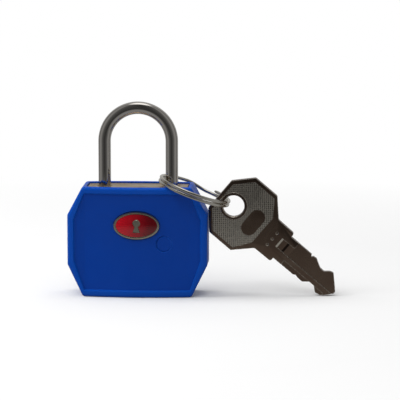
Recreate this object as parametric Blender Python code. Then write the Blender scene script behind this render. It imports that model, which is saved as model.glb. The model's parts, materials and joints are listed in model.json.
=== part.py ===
"""A small keyed luggage padlock, built of its separate pieces.

A brass lock body stands in a two-part moulded case.  A round shackle locks in it by its toe
(the left leg) and lifts and turns on its heel (the right leg).  A flat double-sided key turns a
wafer plug, whose eccentric pin draws a sprung bolt.  The key hangs on a split ring round the
heel leg.  Metres, +Z up, the badge faces -Y.  The origin is the middle of the lock body's top
face, between the shackle's legs.  The lock is drawn with its shackle down and its plug turned
to the open position.
"""

import math

import bmesh
import bpy
from mathutils import Matrix, Vector

MM = 0.001

# Fits
SLIDE_GAP = 0.15 * MM
SEAT_GAP = 0.15 * MM
LOOSE_GAP = 0.3 * MM
CUT_PAST = 2.0 * MM

# Key
KEY_THICKNESS = 1.9 * MM
KEY_BLADE_LENGTH = 16.7 * MM
KEY_BLADE_WIDTH = 6.7 * MM
KEY_CUT_DEPTH = 1.25 * MM
KEY_MILL_DEPTH = 0.35 * MM
KEY_RIB = (0.85 * MM, 2.1 * MM)
KEY_SHOULDER = 15.4 * MM
KEY_COLLAR_WIDTH = 8.8 * MM
KEY_HEAD_WIDTH = 17.3 * MM
KEY_HEAD_END = 4.35 * MM
KEY_HEAD_LENGTH = 14.75 * MM
KEY_HEAD_FACET = 4.0 * MM
KEY_HEAD_END_WIDTH = 8.6 * MM
KEY_BORDER = 0.85 * MM
KEY_FIELD_DEPTH = 0.15 * MM
KEY_HOLE_DIAMETER = 5.15 * MM
KEY_TIP_GAP = 0.1 * MM
KEY_LEAN = math.radians(41)
KEY_HANG_ANGLE = math.radians(-24)

# Key ring
RING_WIRE = 0.8 * MM
KEY_HOLE_FROM_CASE = 6.18 * MM
KEY_HANG_GAP = 0.2 * MM
RING_TURN_GAP = 0.06 * MM
RING_LEG_GAP = 0.6 * MM
RING_TILT = math.radians(20.0)

# Plug and wafers
PLUG_WALL = 0.4 * MM
PLUG_RECESS = 0.25 * MM
KEYWAY_END_GAP = 0.3 * MM
PLUG_HEAD = 1.8 * MM
PLUG_PIN_DIAMETER = 0.8 * MM
PLUG_GROOVE_DEPTH = 0.6 * MM
PLUG_GROOVE_BELOW_TOP = 1.05 * MM
WAFER_COUNT = 4
WAFER_PITCH = 1.95 * MM
WAFER_THICKNESS = 0.8 * MM
WAFER_HALF_WIDTH = 1.9 * MM
WAFER_FIRST = 7.0 * MM
WAFER_SHIFTS = (0.1 * MM, -0.2 * MM, 0.3 * MM, -0.1 * MM)
WAFER_ARM = (1.3 * MM, 1.95 * MM)
WAFER_ARM_REACH = 1.1 * MM
WAFER_SPRING_DIAMETER = 0.8 * MM
WAFER_SPRING_WIRE = 0.16 * MM
WAFER_SPRING_START = -1.7 * MM
WAFER_GROOVE_DEPTH = 0.75 * MM

# Cam and bolt
CAM_THICKNESS = 0.8 * MM
CAM_PIN_DIAMETER = 1.6 * MM
CAM_PIN_RADIUS = 1.5 * MM
CAM_PIN_REACH = 0.3 * MM
CAM_TONGUE = (5.6 * MM, 1.4 * MM, 0.65 * MM)
PLUG_TURN = math.radians(90)
BOLT_DIAMETER = 2.9 * MM
BOLT_TAIL = 3.4 * MM
BOLT_SLOT_GAP = 0.2 * MM
BOLT_CHAMFER = 0.3 * MM
BOLT_SPRING_WIRE = 0.3 * MM
BORE_PLUG_LENGTH = 2.2 * MM

# Shackle
SHACKLE_DIAMETER = 3.0 * MM
LEG_SPACING = 16.2 * MM
SHACKLE_HEIGHT = 20.4 * MM
NOTCH_DEPTH = 1.2 * MM
TOE_BELOW_NOTCH = 1.5 * MM
TOE_BORE_SPARE = 1.0 * MM
NECK_DIAMETER = 2.0 * MM
HEEL_FOOT = 1.5 * MM
HEEL_PIN_DIAMETER = 1.0 * MM
SHACKLE_SPRING_LENGTH = 4.2 * MM
SHACKLE_SPRING_WIRE = 0.35 * MM

# Lock body
BODY_TOP_WALL = 1.8 * MM
BODY_BORE_WALL = 0.5 * MM
BODY_LEG_WALL = 2.9 * MM
BODY_STEP = (0.7 * MM, 1.4 * MM)
SEAT_HALF_WIDTH = 4.5 * MM

# Case
FACE_CROWN_RADIUS = 80.0 * MM
CASE_FLOOR = 1.0 * MM
CASE_PANEL_WALL = 0.9 * MM
CASE_WING = 4.05 * MM
CASE_TOP_RIM = 0.35 * MM
CASE_WINDOW_GAP = 0.25 * MM
CASE_CORNER_RUN = 3.75 * MM
CASE_TOP_RISE = 7.0 * MM
CASE_BOTTOM_RISE = 7.6 * MM
CASE_CORNER_RADIUS = 0.9 * MM
CASE_EDGE = 0.7 * MM
CASE_RIM_WIDTH = 1.5 * MM
CASE_PANEL_DEPTH = 0.5 * MM
CASE_PANEL_SLOPE = 0.3 * MM
KEYHOLE_MARGIN = 0.35 * MM
PEG_DIAMETER = 1.5 * MM
PEG_LENGTH = 2.2 * MM
PEG_FROM_SIDE = 2.1 * MM
PEG_HEIGHTS = (9.3 * MM, 18.0 * MM)
SPOT_PLACE = (6.6 * MM, -13.25 * MM)
SPOT_DIAMETER = 4.1 * MM
SPOT_LINE = 0.45 * MM
SPOT_DEPTH = 0.25 * MM

# Badge
BADGE_SIZE = (11.0 * MM, 6.6 * MM)
BADGE_HEIGHT = -8.8 * MM
BADGE_POCKET_GAP = 0.2 * MM
BADGE_POCKET_DEPTH = 0.4 * MM
BADGE_PLATE = 0.4 * MM
BADGE_RIM = (0.4 * MM, 0.35 * MM)
BADGE_GLYPH_HEIGHT = 0.45 * MM
BADGE_DOME = 0.2 * MM

# Facets
BORE_SIDES = 32
SMALL_SIDES = 16
ROD_SIDES = 20
CROWN_STEPS = 18

# Sizes that follow from the ones above
leg_x = LEG_SPACING / 2
rod_radius = SHACKLE_DIAMETER / 2
leg_bore_radius = rod_radius + SLIDE_GAP
keyway_half_width = KEY_BLADE_WIDTH / 2 + SLIDE_GAP
keyway_half_thickness = KEY_THICKNESS / 2 + 0.2 * MM
plug_radius = math.hypot(keyway_half_width, keyway_half_thickness) + PLUG_WALL
plug_bore_radius = plug_radius + SLIDE_GAP
bolt_radius = BOLT_DIAMETER / 2
bolt_bore_radius = bolt_radius + SLIDE_GAP
cam_pin_radius = CAM_PIN_DIAMETER / 2
bolt_travel = 2 * CAM_PIN_RADIUS * math.sin(PLUG_TURN / 2)

bolt_z = -BODY_TOP_WALL - bolt_bore_radius
cam_ceiling = bolt_z - bolt_bore_radius + SLIDE_GAP
cam_top = cam_ceiling - 0.3 * MM
cam_bottom = cam_top - CAM_THICKNESS
plug_top = cam_bottom - SEAT_GAP
keyway_end = plug_top - PLUG_HEAD
plug_face = keyway_end - KEYWAY_END_GAP - KEY_BLADE_LENGTH
body_bottom = plug_face - PLUG_RECESS
case_bottom = body_bottom - SEAT_GAP - CASE_FLOOR
case_top = CASE_TOP_RIM
body_half_depth = plug_bore_radius + BODY_BORE_WALL
body_half_width = leg_x + leg_bore_radius + BODY_LEG_WALL
case_half_depth = body_half_depth + SEAT_GAP + CASE_PANEL_WALL + CASE_PANEL_DEPTH
case_half_width = body_half_width + SEAT_GAP + CASE_WING
panel_y = -(case_half_depth - CASE_PANEL_DEPTH)
plug_pin_z = plug_top - PLUG_GROOVE_BELOW_TOP
plug_pin_x = plug_radius - PLUG_GROOVE_DEPTH + SLIDE_GAP + PLUG_PIN_DIAMETER / 2

notch_low = bolt_z - bolt_radius - LOOSE_GAP
notch_high = bolt_z + bolt_radius + LOOSE_GAP
toe_end = notch_low - TOE_BELOW_NOTCH
toe_bore_end = toe_end - TOE_BORE_SPARE
shackle_lift = case_top - toe_end + 0.2 * MM
heel_pin_radius = HEEL_PIN_DIAMETER / 2
neck_top = -shackle_lift - 0.3 * MM
heel_pin_z = neck_top - 0.2 * MM - heel_pin_radius
foot_top = heel_pin_z - heel_pin_radius - 0.2 * MM - shackle_lift
heel_end = foot_top - HEEL_FOOT
heel_bore_end = heel_end - SHACKLE_SPRING_LENGTH - 2 * SEAT_GAP
heel_pin_x = leg_x + NECK_DIAMETER / 2 + 0.12 * MM + heel_pin_radius

bolt_tip_locked = -leg_x + rod_radius - NOTCH_DEPTH + 0.25 * MM
bolt_tip = bolt_tip_locked + bolt_travel
bolt_bore_end = leg_x - leg_bore_radius - BODY_BORE_WALL

ring_pitch = RING_WIRE + RING_TURN_GAP
ring_half_width = ring_pitch / 2 * math.sin(RING_TILT) + RING_WIRE / 2
ring_half_height = ring_pitch / 2 * math.cos(RING_TILT) + RING_WIRE / 2
ring_end_x = leg_x - rod_radius - RING_LEG_GAP - ring_half_width
ring_reach = math.hypot(ring_pitch / 2 + RING_WIRE / 2, RING_WIRE / 2)
key_hang = KEY_HOLE_DIAMETER / 2 - ring_reach - KEY_HANG_GAP
ring_far_x = case_half_width + KEY_HOLE_FROM_CASE - key_hang * math.cos(KEY_HANG_ANGLE)
ring_radius = (ring_far_x - ring_end_x) / (2 * math.cos(RING_TILT))


def crown(x):
    """How far the bowed front or rear face falls back at x from its middle."""
    return FACE_CROWN_RADIUS - math.sqrt(FACE_CROWN_RADIUS ** 2 - x * x)


# ---------------------------------------------------------------- mesh helpers


def material(name, colour, metallic, roughness):
    """A Principled material of one colour."""
    new = bpy.data.materials.new(name)
    new.use_nodes = True
    shader = new.node_tree.nodes["Principled BSDF"]
    shader.inputs["Base Color"].default_value = (*colour, 1.0)
    shader.inputs["Metallic"].default_value = metallic
    shader.inputs["Roughness"].default_value = roughness
    return new


def add_object(name, shape, finish=None):
    """Turn a bmesh into an object with its faces pointing out."""
    bmesh.ops.recalc_face_normals(shape, faces=shape.faces)
    mesh = bpy.data.meshes.new(name)
    shape.to_mesh(mesh)
    shape.free()
    new = bpy.data.objects.new(name, mesh)
    bpy.context.scene.collection.objects.link(new)
    if finish:
        mesh.materials.append(finish)
    return new


def smooth(piece, degrees=35):
    """Shade the piece smooth up to the given edge angle."""
    piece.data.shade_smooth()
    piece.data.set_sharp_from_angle(angle=math.radians(degrees))
    return piece


def set_origin(piece, point):
    """Put the object's origin at a point without moving its shape."""
    piece.data.transform(Matrix.Translation(-Vector(point)))
    piece.location = point
    return piece


def loft(loops, closed=False):
    """Skin a list of point loops of equal length; open lofts get flat end caps."""
    shape = bmesh.new()
    rows = [[shape.verts.new(point) for point in loop] for loop in loops]
    count = len(rows[0])
    pairs = list(zip(rows, rows[1:]))
    if closed:
        pairs.append((rows[-1], rows[0]))
    for low, high in pairs:
        for i in range(count):
            j = (i + 1) % count
            shape.faces.new((low[i], low[j], high[j], high[i]))
    if not closed:
        shape.faces.new(rows[0][::-1])
        shape.faces.new(rows[-1])
    return shape


def prism(outline, low, high, axis="Z"):
    """Extrude a flat outline from low to high along an axis."""
    place = {
        "Z": lambda u, v, w: (u, v, w),
        "Y": lambda u, v, w: (u, w, v),
        "X": lambda u, v, w: (w, u, v),
    }[axis]
    return loft([[place(u, v, w) for u, v in outline] for w in (low, high)])


def block(low, high):
    """A box between two corners."""
    outline = ((low[0], low[1]), (high[0], low[1]), (high[0], high[1]), (low[0], high[1]))
    return prism(outline, low[2], high[2])


def circle(radius, sides, centre=(0.0, 0.0)):
    """Points of a circle in a plane."""
    turn = 2 * math.pi / sides
    return [
        (centre[0] + radius * math.cos(turn * i), centre[1] + radius * math.sin(turn * i))
        for i in range(sides)
    ]


def rod(radius, low, high, centre, axis="Z", sides=SMALL_SIDES):
    """A round rod along an axis; centre is given in the other two coordinates."""
    return prism(circle(radius, sides, centre), low, high, axis)


def turned(profile, centre=(0.0, 0.0), sides=BORE_SIDES):
    """A solid turned about a vertical axis from (radius, z) pairs, low to high."""
    return loft([[(x, y, z) for x, y in circle(r, sides, centre)] for r, z in profile])


def tube(path, radii, sides, across):
    """A rod along a path that lies across one fixed direction or winds about it."""
    loops = []
    for i, point in enumerate(path):
        ahead = path[min(i + 1, len(path) - 1)]
        behind = path[max(i - 1, 0)]
        along = (ahead - behind).normalized()
        side = along.cross(across).normalized()
        up = side.cross(along)
        loops.append([
            point + radii[i] * (side * math.cos(turn) + up * math.sin(turn))
            for turn in (2 * math.pi * k / sides for k in range(sides))
        ])
    return loft(loops)


def coil(start, length, radius, wire, turns, axis, steps=10, sides=5):
    """A compression spring along an axis from its start point."""
    shift = Matrix.Translation(start) @ axis.to_track_quat("Z", "Y").to_matrix().to_4x4()
    path = []
    for i in range(turns * steps + 1):
        turn = 2 * math.pi * i / steps
        height = wire / 2 + (length - wire) * i / (turns * steps)
        path.append(shift @ Vector((radius * math.cos(turn), radius * math.sin(turn), height)))
    return tube(path, [wire / 2] * len(path), sides, axis)


def combine(piece, shapes, operation="DIFFERENCE"):
    """Cut shapes out of a piece, or join them to it, one after the other."""
    for shape in shapes:
        cutter = add_object("cutter", shape)
        step = piece.modifiers.new(operation.title(), "BOOLEAN")
        step.operation = operation
        step.solver = "EXACT"
        step.object = cutter
        graph = bpy.context.evaluated_depsgraph_get()
        result = bpy.data.meshes.new_from_object(piece.evaluated_get(graph))
        piece.modifiers.clear()
        piece.data = result
        bpy.data.objects.remove(cutter)
    return piece


# ---------------------------------------------------------------- lock body


def crowned_prism(half_width, half_depth, low, high, chamfer=0.0, steps=12):
    """An upright slab whose front and rear faces are bowed."""
    reach = half_width - chamfer
    xs = [reach * (2 * i / steps - 1) for i in range(steps + 1)]
    front = [(x, crown(x) - half_depth) for x in xs]
    if chamfer:
        corner = crown(half_width) - half_depth + chamfer
        front = [(-half_width, corner), *front, (half_width, corner)]
    rear = [(x, -y) for x, y in reversed(front)]
    return prism(front + rear, low, high)


def mark_off_seat(piece):
    """Make the middle of the flat top, where a staple lies, one plain face of its own."""
    shape = bmesh.new()
    shape.from_mesh(piece.data)
    near = 0.001 * MM

    def top_faces(reach):
        return [
            face for face in shape.faces
            if all(abs(vert.co.z) < near and abs(vert.co.x) < reach for vert in face.verts)
        ]

    for x in (-SEAT_HALF_WIDTH, SEAT_HALF_WIDTH):
        top = top_faces(body_half_width)
        parts = {part for face in top for part in (*face.edges, *face.verts)}
        bmesh.ops.bisect_plane(
            shape, geom=[*top, *parts], plane_co=(x, 0.0, 0.0), plane_no=(1.0, 0.0, 0.0)
        )
    bmesh.ops.dissolve_faces(shape, faces=top_faces(SEAT_HALF_WIDTH + near), use_verts=False)
    shape.to_mesh(piece.data)
    shape.free()
    return piece


def make_lock_body(brass):
    """The brass block with all its bores."""
    body = add_object(
        "lock_body",
        crowned_prism(body_half_width, body_half_depth, body_bottom, 0.0, chamfer=0.4 * MM),
        brass,
    )
    step_width, step_height = BODY_STEP
    land = body_half_width - step_width
    deep = body_half_depth + CUT_PAST
    shoulders = [
        block((low, -deep, -step_height), (low + step_width + CUT_PAST, deep, CUT_PAST))
        for low in (-body_half_width - CUT_PAST, land)
    ]
    below = body_bottom - CUT_PAST
    pocket_radius = CAM_PIN_RADIUS + cam_pin_radius + LOOSE_GAP
    groove_end = plug_bore_radius + WAFER_GROOVE_DEPTH
    groove_half = WAFER_HALF_WIDTH * 0.6
    groove_low = plug_face + WAFER_FIRST - WAFER_PITCH
    groove_high = plug_face + WAFER_FIRST + WAFER_COUNT * WAFER_PITCH
    cuts = shoulders + [
        turned([(plug_bore_radius, below), (plug_bore_radius, cam_ceiling)]),
        rod(bolt_bore_radius, -body_half_width - CUT_PAST, bolt_bore_end, (0.0, bolt_z), "X", 24),
        turned([(pocket_radius, cam_ceiling - CUT_PAST / 2), (pocket_radius, bolt_z + 0.7 * MM)],
               sides=24),
        rod(leg_bore_radius, toe_bore_end, CUT_PAST, (-leg_x, 0.0), "Z", 24),
        rod(leg_bore_radius, heel_bore_end, CUT_PAST, (leg_x, 0.0), "Z", 24),
        rod(heel_pin_radius + SLIDE_GAP, -deep, deep, (heel_pin_x, heel_pin_z), "Y", 12),
        rod(PLUG_PIN_DIAMETER / 2 + SLIDE_GAP, -deep, deep, (plug_pin_x, plug_pin_z), "Y", 12),
        block((-groove_end, -groove_half, groove_low), (groove_end, groove_half, groove_high)),
    ]
    return smooth(mark_off_seat(combine(body, cuts)))


def cross_pin(name, x, z, radius, steel):
    """A straight pin from the front to the rear of the lock body."""
    half = body_half_depth - crown(x) - 0.3 * MM
    pin = add_object(name, rod(radius, -half, half, (x, z), "Y", 12), steel)
    return smooth(set_origin(pin, (x, 0.0, z)))


def make_bore_plug(brass):
    """The plug that closes the outer end of the bolt bore."""
    outer = -body_half_width + 0.2 * MM
    inner = min(outer + BORE_PLUG_LENGTH, -leg_x - leg_bore_radius - 0.2 * MM)
    plug = add_object(
        "bolt_bore_plug",
        rod(bolt_bore_radius - SLIDE_GAP, outer, inner, (0.0, bolt_z), "X", 24),
        brass,
    )
    return smooth(set_origin(plug, (outer, 0.0, bolt_z)))


# ---------------------------------------------------------------- case


def filleted(corners, radius, steps=3):
    """Round each corner of a convex outline; gives one list of points per corner."""
    rounded = []
    count = len(corners)
    for i, corner in enumerate(corners):
        here = Vector(corner)
        before = (Vector(corners[i - 1]) - here).normalized()
        after = (Vector(corners[(i + 1) % count]) - here).normalized()
        half = before.angle(after) / 2
        reach = radius / math.tan(half)
        middle = here + (before + after).normalized() * radius / math.sin(half)
        start = here + before * reach - middle
        sweep = start.angle_signed(here + after * reach - middle)
        turns = [Matrix.Rotation(-sweep * k / steps, 2) for k in range(steps + 1)]
        rounded.append([tuple(middle + turn @ start) for turn in turns])
    return rounded


def case_chains(inset):
    """The case outline, moved in by inset: its upper and its lower edge, left to right."""
    side = case_half_width - inset
    right = []
    for edge, rise, sign in ((case_bottom, CASE_BOTTOM_RISE, -1), (case_top, CASE_TOP_RISE, 1)):
        slant = math.hypot(CASE_CORNER_RUN, rise)
        flat_end = case_half_width - CASE_CORNER_RUN - inset * (slant - rise) / CASE_CORNER_RUN
        side_end = edge - sign * (rise + inset * (slant - CASE_CORNER_RUN) / rise)
        right.append([(flat_end, edge - sign * inset), (side, side_end)])
    outline = right[0] + right[1][::-1]
    outline += [(-x, z) for x, z in reversed(outline)]
    radius = max(CASE_CORNER_RADIUS - inset * 0.3, 0.3 * MM)
    corners = filleted(outline, radius)
    upper = [point for corner in (5, 4, 3, 2) for point in reversed(corners[corner])]
    lower = [point for corner in (6, 7, 0, 1) for point in corners[corner]]
    return spread(upper), spread(lower)


def spread(chain, steps=8):
    """Add points along the long straight edge so that it can follow the bowed face."""
    half = len(chain) // 2
    left, right = Vector(chain[half - 1]), Vector(chain[half])
    between = [tuple(left.lerp(right, i / steps)) for i in range(1, steps)]
    return chain[:half] + between + chain[half:]


def make_case_half(name, side, plastic):
    """One half of the case; side is -1 for the front and 1 for the rear."""
    shape = bmesh.new()
    bevel = CASE_EDGE * (1 - math.sqrt(0.5))
    levels = (
        (0.0, None),
        (0.0, case_half_depth - CASE_EDGE),
        (bevel, case_half_depth - bevel),
        (CASE_EDGE, case_half_depth),
        (CASE_RIM_WIDTH, case_half_depth),
        (CASE_RIM_WIDTH + CASE_PANEL_SLOPE, case_half_depth - CASE_PANEL_DEPTH),
    )
    rows = []
    for inset, depth in levels:
        upper, lower = case_chains(inset)
        loop = upper + lower[::-1]
        rows.append([
            shape.verts.new((x, side * (SEAT_GAP / 2 if depth is None else depth - crown(x)), z))
            for x, z in loop
        ])
    count = len(rows[0])
    for low, high in zip(rows, rows[1:]):
        for i in range(count):
            j = (i + 1) % count
            shape.faces.new((low[i], low[j], high[j], high[i]))
    shape.faces.new(rows[0])
    panel = rows[-1]
    for i in range(count // 2 - 1):
        shape.faces.new((panel[i], panel[i + 1], panel[count - 2 - i], panel[count - 1 - i]))
    case = add_object(name, shape, plastic)

    step_width, step_height = BODY_STEP
    cavity_floor = case_bottom + CASE_FLOOR
    window_half = body_half_width - step_width + CASE_WINDOW_GAP
    cuts = [
        crowned_prism(body_half_width + SEAT_GAP, body_half_depth + SEAT_GAP,
                      cavity_floor, SEAT_GAP - step_height),
        crowned_prism(window_half, body_half_depth + CASE_WINDOW_GAP,
                      -step_height - 0.5 * MM, case_top + CUT_PAST, steps=10),
        turned([(plug_bore_radius + KEYHOLE_MARGIN, case_bottom - CUT_PAST),
                (plug_bore_radius + KEYHOLE_MARGIN, cavity_floor + 0.2 * MM)]),
    ]
    combine(case, cuts)
    peg_spots = [
        (x, case_bottom + height)
        for x in (-case_half_width + PEG_FROM_SIDE, case_half_width - PEG_FROM_SIDE)
        for height in PEG_HEIGHTS
    ]
    peg_radius = PEG_DIAMETER / 2
    if side < 0:
        sockets = [
            rod(peg_radius + SLIDE_GAP, -PEG_LENGTH - 0.2 * MM, CUT_PAST, spot, "Y", 12)
            for spot in peg_spots
        ]
        combine(case, sockets)
    else:
        pegs = [rod(peg_radius, -PEG_LENGTH, CUT_PAST, spot, "Y", 12) for spot in peg_spots]
        combine(case, pegs, "UNION")
    return case


def make_front_cover(plastic):
    """The front half, with its badge pocket and a small round sunk line beside it."""
    case = make_case_half("front_cover", -1, plastic)
    pocket = ellipse(BADGE_SIZE[0] / 2 + BADGE_POCKET_GAP, BADGE_SIZE[1] / 2 + BADGE_POCKET_GAP)
    spot_x, spot_z = SPOT_PLACE
    spot_y = panel_y + crown(spot_x)
    outer = circle(SPOT_DIAMETER / 2, 20, SPOT_PLACE)
    inner = circle(SPOT_DIAMETER / 2 - SPOT_LINE, 20, SPOT_PLACE)
    low, high = spot_y - CUT_PAST, spot_y + SPOT_DEPTH
    ring_cut = loft([
        [(x, y, z) for x, z in outline]
        for outline, y in ((outer, low), (outer, high), (inner, high), (inner, low))
    ], closed=True)
    pocket_cut = prism(pocket, panel_y - CUT_PAST, panel_y + BADGE_POCKET_DEPTH, "Y")
    combine(case, [pocket_cut, ring_cut])
    return smooth(case, 25)


# ---------------------------------------------------------------- badge


def ellipse(half_width, half_height, sides=40):
    """Points of an upright ellipse at the badge's place."""
    return [(x * half_width, BADGE_HEIGHT + z * half_height) for x, z in circle(1.0, sides)]


def keyhole(grow=0.0):
    """The keyhole figure: a round head over a flared foot."""
    head = 0.85 * MM + grow
    head_z = BADGE_HEIGHT + 0.55 * MM
    neck = 0.38 * MM + grow
    foot = 0.8 * MM + grow
    foot_z = BADGE_HEIGHT - 1.6 * MM - grow
    start = math.asin(neck / head)
    points = [
        (head * math.sin(turn), head_z - head * math.cos(turn))
        for turn in (start + (2 * math.pi - 2 * start) * k / 14 for k in range(15))
    ]
    return points + [(-foot, foot_z), (foot, foot_z)]


def make_badge(plate_metal, enamel):
    """The oval plate with its raised rim and keyhole figure, and the domed enamel in it."""
    half_w, half_h = BADGE_SIZE[0] / 2, BADGE_SIZE[1] / 2
    rim_width, rim_height = BADGE_RIM
    back = panel_y + BADGE_POCKET_DEPTH - SEAT_GAP
    face = back - BADGE_PLATE
    rim_top = face - rim_height
    levels = (
        (0.0, back),
        (0.0, rim_top + 0.1 * MM),
        (0.1 * MM, rim_top),
        (rim_width - 0.05 * MM, rim_top),
        (rim_width, face),
    )
    dish = loft([
        [(x, y, z) for x, z in ellipse(half_w - inset, half_h - inset)] for inset, y in levels
    ])
    plate = add_object("badge_plate", dish, plate_metal)
    figure = prism(keyhole(), face - BADGE_GLYPH_HEIGHT, face + BADGE_PLATE / 2, "Y")
    combine(plate, [figure], "UNION")
    smooth(set_origin(plate, (0.0, back, BADGE_HEIGHT)))

    inset = rim_width + SLIDE_GAP
    bottom = face - SEAT_GAP
    edge = bottom - 0.1 * MM
    half_w, half_h = half_w - inset, half_h - inset
    rows = [[(x, bottom, z) for x, z in ellipse(half_w, half_h)]]
    for share in (1.0, 0.8, 0.6, 0.4, 0.2):
        y = edge - BADGE_DOME * (1 - share ** 2)
        rows.append([(x, y, z) for x, z in ellipse(half_w * share, half_h * share)])
    fill = add_object("badge_enamel", loft(rows), enamel)
    combine(fill, [prism(keyhole(SLIDE_GAP), bottom - CUT_PAST, bottom + CUT_PAST, "Y")])
    smooth(set_origin(fill, (0.0, bottom, BADGE_HEIGHT)))


# ---------------------------------------------------------------- shackle


def make_shackle(nickel):
    """The bow: toe leg with its notch, crown, and heel leg with its neck and foot."""
    chamfer = 0.4 * MM
    crown_z = SHACKLE_HEIGHT - rod_radius - leg_x
    neck = NECK_DIAMETER / 2
    stations = [((-leg_x, toe_end), rod_radius - chamfer), ((-leg_x, toe_end + chamfer), rod_radius)]
    for k in range(CROWN_STEPS + 1):
        turn = math.pi * (1 - k / CROWN_STEPS)
        stations.append(((leg_x * math.cos(turn), crown_z + leg_x * math.sin(turn)), rod_radius))
    stations += [
        ((leg_x, neck_top + 0.2 * MM), rod_radius), ((leg_x, neck_top), neck),
        ((leg_x, foot_top), neck), ((leg_x, foot_top - 0.05 * MM), rod_radius),
        ((leg_x, heel_end + chamfer / 2), rod_radius), ((leg_x, heel_end), rod_radius - chamfer / 2),
    ]
    path = [Vector((x, 0.0, z)) for (x, z), _ in stations]
    shape = tube(path, [radius for _, radius in stations], ROD_SIDES, Vector((0, 1, 0)))
    bow = add_object("shackle", shape, nickel)
    inner = -leg_x + rod_radius
    notch = block(
        (inner - NOTCH_DEPTH, -rod_radius - CUT_PAST, notch_low),
        (inner + CUT_PAST, rod_radius + CUT_PAST, notch_high),
    )
    combine(bow, [notch])
    return smooth(set_origin(bow, (leg_x, 0.0, 0.0)))


def make_shackle_spring(steel):
    """The spring under the heel."""
    start = Vector((leg_x, 0.0, heel_bore_end + SEAT_GAP))
    radius = leg_bore_radius - SLIDE_GAP * 2 - SHACKLE_SPRING_WIRE / 2
    shape = coil(start, SHACKLE_SPRING_LENGTH, radius, SHACKLE_SPRING_WIRE, 6, Vector((0, 0, 1)))
    return smooth(set_origin(add_object("shackle_spring", shape, steel), start), 60)


# ---------------------------------------------------------------- bolt, plug and cam


def make_bolt(steel):
    """The round sliding bolt with a side slot for the cam's pin."""
    profile = (
        (bolt_radius - BOLT_CHAMFER, bolt_tip),
        (bolt_radius, bolt_tip + BOLT_CHAMFER),
        (bolt_radius, BOLT_TAIL),
    )
    shape = loft([[(x, y, z) for y, z in circle(r, 24, (0.0, bolt_z))] for r, x in profile])
    bolt = add_object("locking_bolt", shape, steel)
    pin_x = bolt_travel / 2
    slot_half = cam_pin_radius + BOLT_SLOT_GAP
    slot = block(
        (pin_x - slot_half, 0.0, bolt_z - bolt_radius - CUT_PAST),
        (pin_x + slot_half, bolt_radius + CUT_PAST, bolt_z + bolt_radius + CUT_PAST),
    )
    combine(bolt, [slot])
    return smooth(set_origin(bolt, (bolt_tip, 0.0, bolt_z)))


def make_bolt_spring(steel):
    """The spring behind the bolt."""
    start = Vector((BOLT_TAIL + SEAT_GAP, 0.0, bolt_z))
    length = bolt_bore_end - SEAT_GAP - start.x
    radius = bolt_bore_radius - 2 * SLIDE_GAP - BOLT_SPRING_WIRE / 2
    shape = coil(start, length, radius, BOLT_SPRING_WIRE, 3, Vector((1, 0, 0)))
    return smooth(set_origin(add_object("bolt_spring", shape, steel), start), 60)


def wafer_height(index):
    """The middle height of a wafer."""
    return plug_face + WAFER_FIRST + index * WAFER_PITCH


def wafer_side(index):
    """Which side of the wafer carries its arm; neighbours take turns."""
    return 1 if index % 2 == 0 else -1


def make_plug(metal):
    """The turning plug; its keyway runs front to rear in this position."""
    chamfer = 0.2 * MM
    groove_radius = plug_radius - PLUG_GROOVE_DEPTH
    groove_half = PLUG_PIN_DIAMETER / 2 + SLIDE_GAP
    plug = add_object("key_plug", turned([
        (plug_radius - chamfer, plug_face), (plug_radius, plug_face + chamfer),
        (plug_radius, plug_pin_z - groove_half), (groove_radius, plug_pin_z - groove_half),
        (groove_radius, plug_pin_z + groove_half), (plug_radius, plug_pin_z + groove_half),
        (plug_radius, plug_top),
    ]), metal)
    tongue_length, tongue_width, tongue_height = CAM_TONGUE
    slot_long = tongue_length / 2 + SLIDE_GAP
    slot_wide = tongue_width / 2 + SLIDE_GAP
    cuts = [
        block((-keyway_half_thickness, -keyway_half_width, plug_face - CUT_PAST),
              (keyway_half_thickness, keyway_half_width, keyway_end)),
        block((-slot_long, -slot_wide, plug_top - tongue_height - SEAT_GAP),
              (slot_long, slot_wide, plug_top + CUT_PAST)),
    ]
    strip = WAFER_HALF_WIDTH + SLIDE_GAP
    half_slot = WAFER_THICKNESS / 2 + SLIDE_GAP
    outer = strip + WAFER_ARM_REACH + 0.05 * MM
    for index in range(WAFER_COUNT):
        z, side = wafer_height(index), wafer_side(index)
        arm_low, arm_high = sorted((side * (strip - 0.3 * MM), side * outer))
        cuts.append(block((-strip, -plug_radius - CUT_PAST, z - half_slot),
                          (strip, plug_radius + CUT_PAST, z + half_slot)))
        cuts.append(block((arm_low, WAFER_SPRING_START - SEAT_GAP, z - half_slot),
                          (arm_high, WAFER_ARM[1] + 0.2 * MM, z + half_slot)))
    return smooth(combine(plug, cuts))


def make_wafer(index, brass):
    """A wafer: a plate with round ends, a window for the key and an arm for its spring."""
    z, side = wafer_height(index), wafer_side(index)
    reach = plug_radius - 0.1 * MM
    limit = math.asin(WAFER_HALF_WIDTH / reach)
    far = [
        (reach * math.sin(turn), reach * math.cos(turn))
        for turn in (limit * (1 - 2 * k / 6) for k in range(7))
    ]
    near = [(-x, -y) for x, y in far]
    outline = far + near
    low, high = z - WAFER_THICKNESS / 2, z + WAFER_THICKNESS / 2
    name = f"wafer_{index + 1}"
    wafer = add_object(name, prism(outline, low, high), brass)
    arm_start, arm_end = WAFER_ARM
    root, tip = WAFER_HALF_WIDTH - 0.2 * MM, WAFER_HALF_WIDTH + WAFER_ARM_REACH
    arm_low, arm_high = sorted((side * root, side * tip))
    combine(wafer, [block((arm_low, arm_start, low), (arm_high, arm_end, high))], "UNION")
    shift = WAFER_SHIFTS[index % len(WAFER_SHIFTS)]
    window = keyway_half_width - 0.35 * MM
    wide = keyway_half_thickness + 0.05 * MM
    hole = block((-wide, shift - window, low - CUT_PAST), (wide, shift + window, high + CUT_PAST))
    combine(wafer, [hole])
    return smooth(set_origin(wafer, (0.0, 0.0, z)))


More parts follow.
